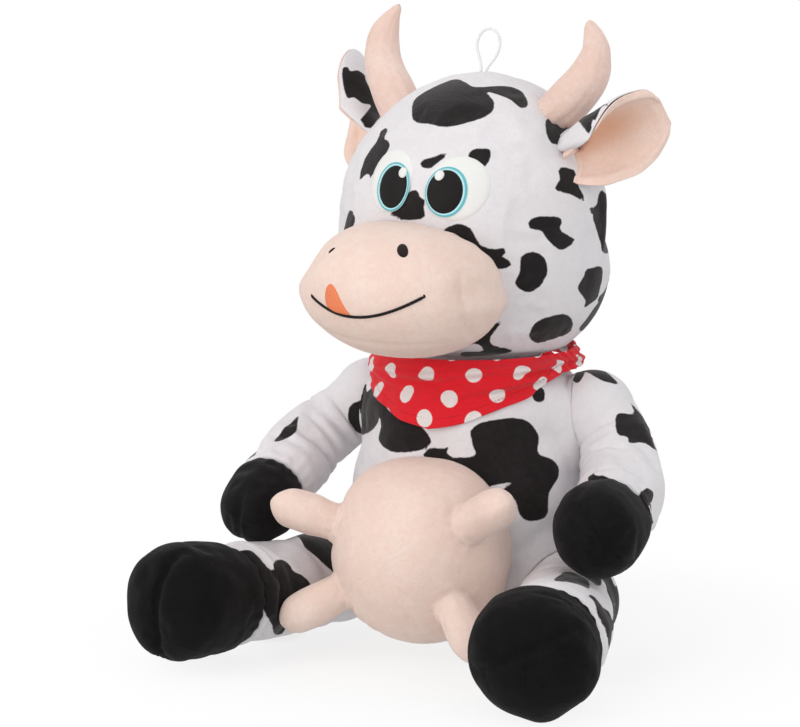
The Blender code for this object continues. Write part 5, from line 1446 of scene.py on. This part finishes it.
def bandana_folds(turn, share, p):
    """Soft folds that run round the neck and down to the point."""
    z = p[..., 2]
    front = np.exp(-((turn / 75.0) ** 4))
    total = np.zeros_like(z)
    for angle, slope, height, width, depth, span in (
        (38, 0.20, 181, 3.2, 2.6, 26), (20, 0.12, 189, 2.6, 1.8, 32), (-22, -0.10, 187, 2.8, 1.8, 30), (50, 0.25, 190, 2.4, 1.9, 20), (-46, -0.18, 184, 2.6, 1.8, 22), (8, 0.05, 174, 4.0, 1.1, 26), (64, 0.1, 193, 2.0, 1.6, 16),
    ):
        line = height + slope * (turn - angle)
        total += 1.35 * depth * np.exp(-((z - line) / width) ** 2) * np.exp(-(((turn - angle) / span) ** 4))
        total -= 0.9 * depth * np.exp(-((z - line + 1.9 * width) / (0.8 * width)) ** 2) * np.exp(-(((turn - angle) / span) ** 4))
    back = 1 - front
    total += back * (0.8 * np.sin(z * 1.15 + turn * 0.06) + 0.5 * np.sin(z * 0.7 - turn * 0.11))
    # gathered at the sides where the corner is tucked in
    for angle in (82, -82):
        near = np.exp(-(((turn - angle) / 13.0) ** 2))
        total += near * 0.9 * np.cos((turn - angle) * 0.8 + z * 0.35)
    return total


def bandana():
    columns, down = 420, 44
    turn = np.linspace(-180, 180, columns, endpoint=False)[None]
    share = np.linspace(0, 1, down)[:, None]
    p = bandana_point(turn, share)
    low = curve_through(*zip(*BANDANA_EDGE), np.abs(turn))
    height = (200 - 3 * np.cos(np.radians(turn)) - low)
    out = unit(np.stack([np.sin(np.radians(turn)) + 0 * share, -np.cos(np.radians(turn)) + 0 * share, 0 * turn + 0 * share], -1))
    fold = bandana_folds(turn + 0 * share, share + 0 * turn, p)
    from_edge = (1 - share) * height
    hem = 1 - smooth(from_edge, 5.4, 6.6)
    ripple = 0.7 * np.sin(np.radians(turn) * 17) * (1 - smooth(from_edge, 0, 14)) * smooth(height, 14, 30)
    lift = np.maximum(fold, -1.9) + 0.35 * hem + ripple + 0.25 * waves(p.reshape(-1, 3), 14, 77).reshape(fold.shape)
    p = p + out * lift[..., None]
    # flat coordinates: length round the neck, and length down
    step = np.linalg.norm(np.diff(p, axis=0), axis=2)
    v = -np.vstack([np.zeros((1, columns)), np.cumsum(step, axis=0)])
    v = v - v[:, columns // 2][-1]
    radius = 80.0
    u = np.radians(turn) * radius + 0 * share
    inner = p - out * 1.25
    grid = np.concatenate([p, inner[::-1]], 0)
    n = grid.shape[0]
    faces = []
    for i in range(n):
        k = (i + 1) % n
        for j in range(columns):
            l = (j + 1) % columns
            faces.append((i * columns + j, i * columns + l, k * columns + l, k * columns + j))
    skin = Skin(grid.reshape(-1, 3), faces)
    both_uv = np.concatenate([np.stack([u, v], -1), np.stack([u, v], -1)[::-1]], 0).reshape(-1, 2)
    tree = skin.tree()
    hit = tree.ray_cast(Vector(EYE), Vector(pixel_direction(425, 419)))[0]
    spot = both_uv[np.argmin(np.linalg.norm(skin.points - np.array(hit), axis=1))] if hit is not None else np.zeros(2)
    stitch = np.abs(from_edge - 6.0)
    skin.values["stitch"] = np.concatenate([stitch + 0 * p[..., 0], (stitch + 0 * p[..., 0])[::-1]], 0).ravel()
    skin.values["run"] = np.concatenate([u + 0 * p[..., 0], (u + 0 * p[..., 0])[::-1]], 0).ravel()
    obj = bake_down("bandana_cloth", skin, [cotton], uv=both_uv - spot)
    settle(obj, "torso", ("bandana",))
    knot()


def knot():
    """The knot at the nape with its two short ends, in one piece of folded cloth."""
    centre = np.array([0.0, 82.5, 194.0])
    rise = np.radians(np.linspace(-84, 84, 30))[:, None]
    turn = np.linspace(0, 2 * math.pi, 52, endpoint=False)
    crease = 1 + 0.06 * np.sin(5 * rise + 2 * np.sin(turn)) + 0.05 * np.cos(4 * turn + 3 * rise)
    rings = np.stack([11 * np.cos(rise) * np.cos(turn) * crease, 6.4 * np.cos(rise) * np.sin(turn) * crease, 8 * np.sin(rise) * crease + 0 * turn], -1)
    skin = lofted(rings, (0, 0, -8), (0, 0, 8))
    parts = [(skin.points, skin.faces)]
    for sign in (-1, 1):
        t = np.linspace(0.0, 1, 24)
        half = curve_through((0, 0.4, 0.8, 1.0), (4, 8, 7.5, 2.6), t)
        centres = np.stack([sign * (3 + 27 * t), 2.0 + 4 * t + 0.8 * np.sin(7 * t), -3 - 18 * t], -1)
        across = unit(np.array([0.55 * sign, 0, 0.83]))
        w = np.linspace(-1, 1, 16)
        grid = centres[:, None] + across * (half[:, None] * w)[..., None] + np.array([0, 1.0, 0]) * (0.9 * np.cos(w * 4.5 + 3 * t[:, None]))[..., None]
        end = slab(grid, 2.2)
        parts.append((end.points, end.faces))
    points, faces, start = [], [], 0
    for q, f in parts:
        points.append(q)
        faces += [tuple(start + k for k in row) for row in f]
        start += len(q)
    joined = Skin(np.vstack(points) + centre, faces)
    uv = np.stack([joined.points[:, 0] + 7, joined.points[:, 2]], -1)
    joined.values["stitch"] = np.full(len(joined.points), 9.0)
    joined.values["run"] = np.zeros(len(joined.points))
    obj = bake_down("bandana_knot_cloth", joined, [cotton], uv=uv)
    return settle(obj, "torso", ("bandana_knot",))


bandana()


# ------------------------------------------------------------------ tail
def tail():
    path = path_through(TAIL_PATH)
    total = path[1][-1]
    cuff = total - 32
    lean = np.array([1.0, 0.0, 0.0])
    s = np.linspace(1.0, cuff - 0.2, 50)
    a = np.linspace(0, 2 * math.pi, 40, endpoint=False)
    r = 6.5 - 0.8 * bump(s, cuff, 3) + 0.3 * np.sin(s / 4.5)
    centres, directions = along(path, s)
    skin = lofted(tube_rings(centres, directions, lean, r, 40))
    skin.push(waves(skin.points, 18, 91) * 0.2)
    print_patches(skin, (), [((4, 104, 40), 7, 92, 1.4), ((24, 128, 20), 6, 93, 1.5)])
    settle(bake_down("tail_plush", skin, [white_plush]), "tail", ("tail_sleeve",))
    stations = smooth_profile(((0.2, 5.6), (2.5, 7.4), (6, 9.5), (14, 11.6), (22, 10.5), (28, 6.5), (31, 0)), 1.4)
    s, r = stations[:-1, 0], stations[:-1, 1]
    centres, directions = along(path, cuff + s)
    a = np.linspace(0, 2 * math.pi, 56, endpoint=False)
    locks = 1 - 0.09 * smooth(s, 4, 18)[:, None] * (0.5 + 0.5 * np.cos(9 * a + 2 * np.sin(2 * a)))[None]
    tuft = lofted(tube_rings(centres, directions, lean, r[:, None] * locks, 56), None, along(path, total - 1)[0][0])
    tuft.push(waves(tuft.points, 12, 94) * 0.35)
    settle(bake_down("tail_tuft_velvet", tuft, [velvet]), "tail", ("tail_tuft",))


tail()

# ------------------------------------------------------------------ stage and light
floor_mesh = bpy.data.meshes.new("floor")
around = np.linspace(0, 2 * math.pi, 96, endpoint=False)
floor_mesh.from_pydata([(9 * math.cos(t), 9 * math.sin(t), -0.0006) for t in around], [], [tuple(range(96))])
floor = bpy.data.objects.new("floor", floor_mesh)
bpy.context.scene.collection.objects.link(floor)
floor_material, floor_tree, floor_shader = start_material("pale_floor", 0.9)
floor_place = node(floor_tree, "ShaderNodeTexCoord").outputs["Object"]
floor_grain = node(floor_tree, "ShaderNodeTexNoise", {"Vector": floor_place, "Scale": 3.0, "Detail": 3.0}).outputs[0]
floor_tree.links.new(mixed(floor_tree, ranged(floor_tree, floor_grain, 0.3, 0.7), colour(0.93, 0.93, 0.93), colour(0.95, 0.95, 0.95)), floor_shader.inputs["Base Color"])
# away from the toy the floor runs out into the bright backdrop
floor_away = node(floor_tree, "ShaderNodeVectorMath", {0: floor_place}, operation="LENGTH").outputs["Value"]
floor_straight = node(floor_tree, "ShaderNodeLightPath").outputs["Is Camera Ray"]
floor_glow = node(floor_tree, "ShaderNodeEmission", {"Color": (1.0, 1.0, 1.0, 1.0), "Strength": maths(floor_tree, "ADD", maths(floor_tree, "MULTIPLY", floor_straight, 0.36), 0.64)}).outputs[0]
floor_blend = node(floor_tree, "ShaderNodeMixShader", {0: ranged(floor_tree, floor_away, 0.13, 0.32, 0.76, 1.0), 1: floor_shader.outputs[0], 2: floor_glow}).outputs[0]
floor_tree.links.new(floor_blend, floor_tree.nodes["Material Output"].inputs["Surface"])
floor_mesh.materials.append(floor_material)

world = bpy.data.worlds.new("studio")
bpy.context.scene.world = world
world.use_nodes = True
sky = world.node_tree.nodes["Background"]
sky.inputs["Color"].default_value = (1.0, 1.0, 1.0, 1.0)
seen_straight = node(world.node_tree, "ShaderNodeLightPath").outputs["Is Camera Ray"]
world.node_tree.links.new(maths(world.node_tree, "ADD", maths(world.node_tree, "MULTIPLY", seen_straight, 0.36), 0.64), sky.inputs["Strength"])


def soft_light(name, place, size, power, tint=(1.0, 1.0, 1.0)):
    data = bpy.data.lights.new(name, "AREA")
    data.shape = "SQUARE"
    data.size = size
    data.energy = power
    data.color = tint
    obj = bpy.data.objects.new(name, data)
    bpy.context.scene.collection.objects.link(obj)
    place = Vector(place)
    obj.location = place
    obj.rotation_mode = "QUATERNION"
    obj.rotation_quaternion = (place - Vector((0, 0, 0.2))).to_track_quat("Z", "Y")
    return obj


key_from = TARGET * MM + (BACK * 1.5 - RIGHT * 1.5 + UP * 1.5)
soft_light("key", key_from, 1.6, 15.0)
fill_from = TARGET * MM + (BACK * 1.9 + RIGHT * 1.6 + UP * 0.5)
soft_light("fill", fill_from, 1.8, 15.0, (1.0, 0.985, 0.97))
low_from = (TARGET + BACK * 900 - RIGHT * 900) * MM * (1, 1, 0) + np.array([0, 0, 0.12])
soft_light("low", low_from, 0.9, 7.0, (1.0, 0.94, 0.89))
soft_light("top", (0.1, 0.5, 2.3), 1.8, 6.0)
soft_light("behind", TARGET * MM + (-BACK * 1.8 + UP * 0.9), 1.6, 8.0)
bpy.context.scene.view_settings.view_transform = "Standard"
bpy.context.scene.view_settings.look = "None"
bpy.context.scene.view_settings.exposure = 0.0
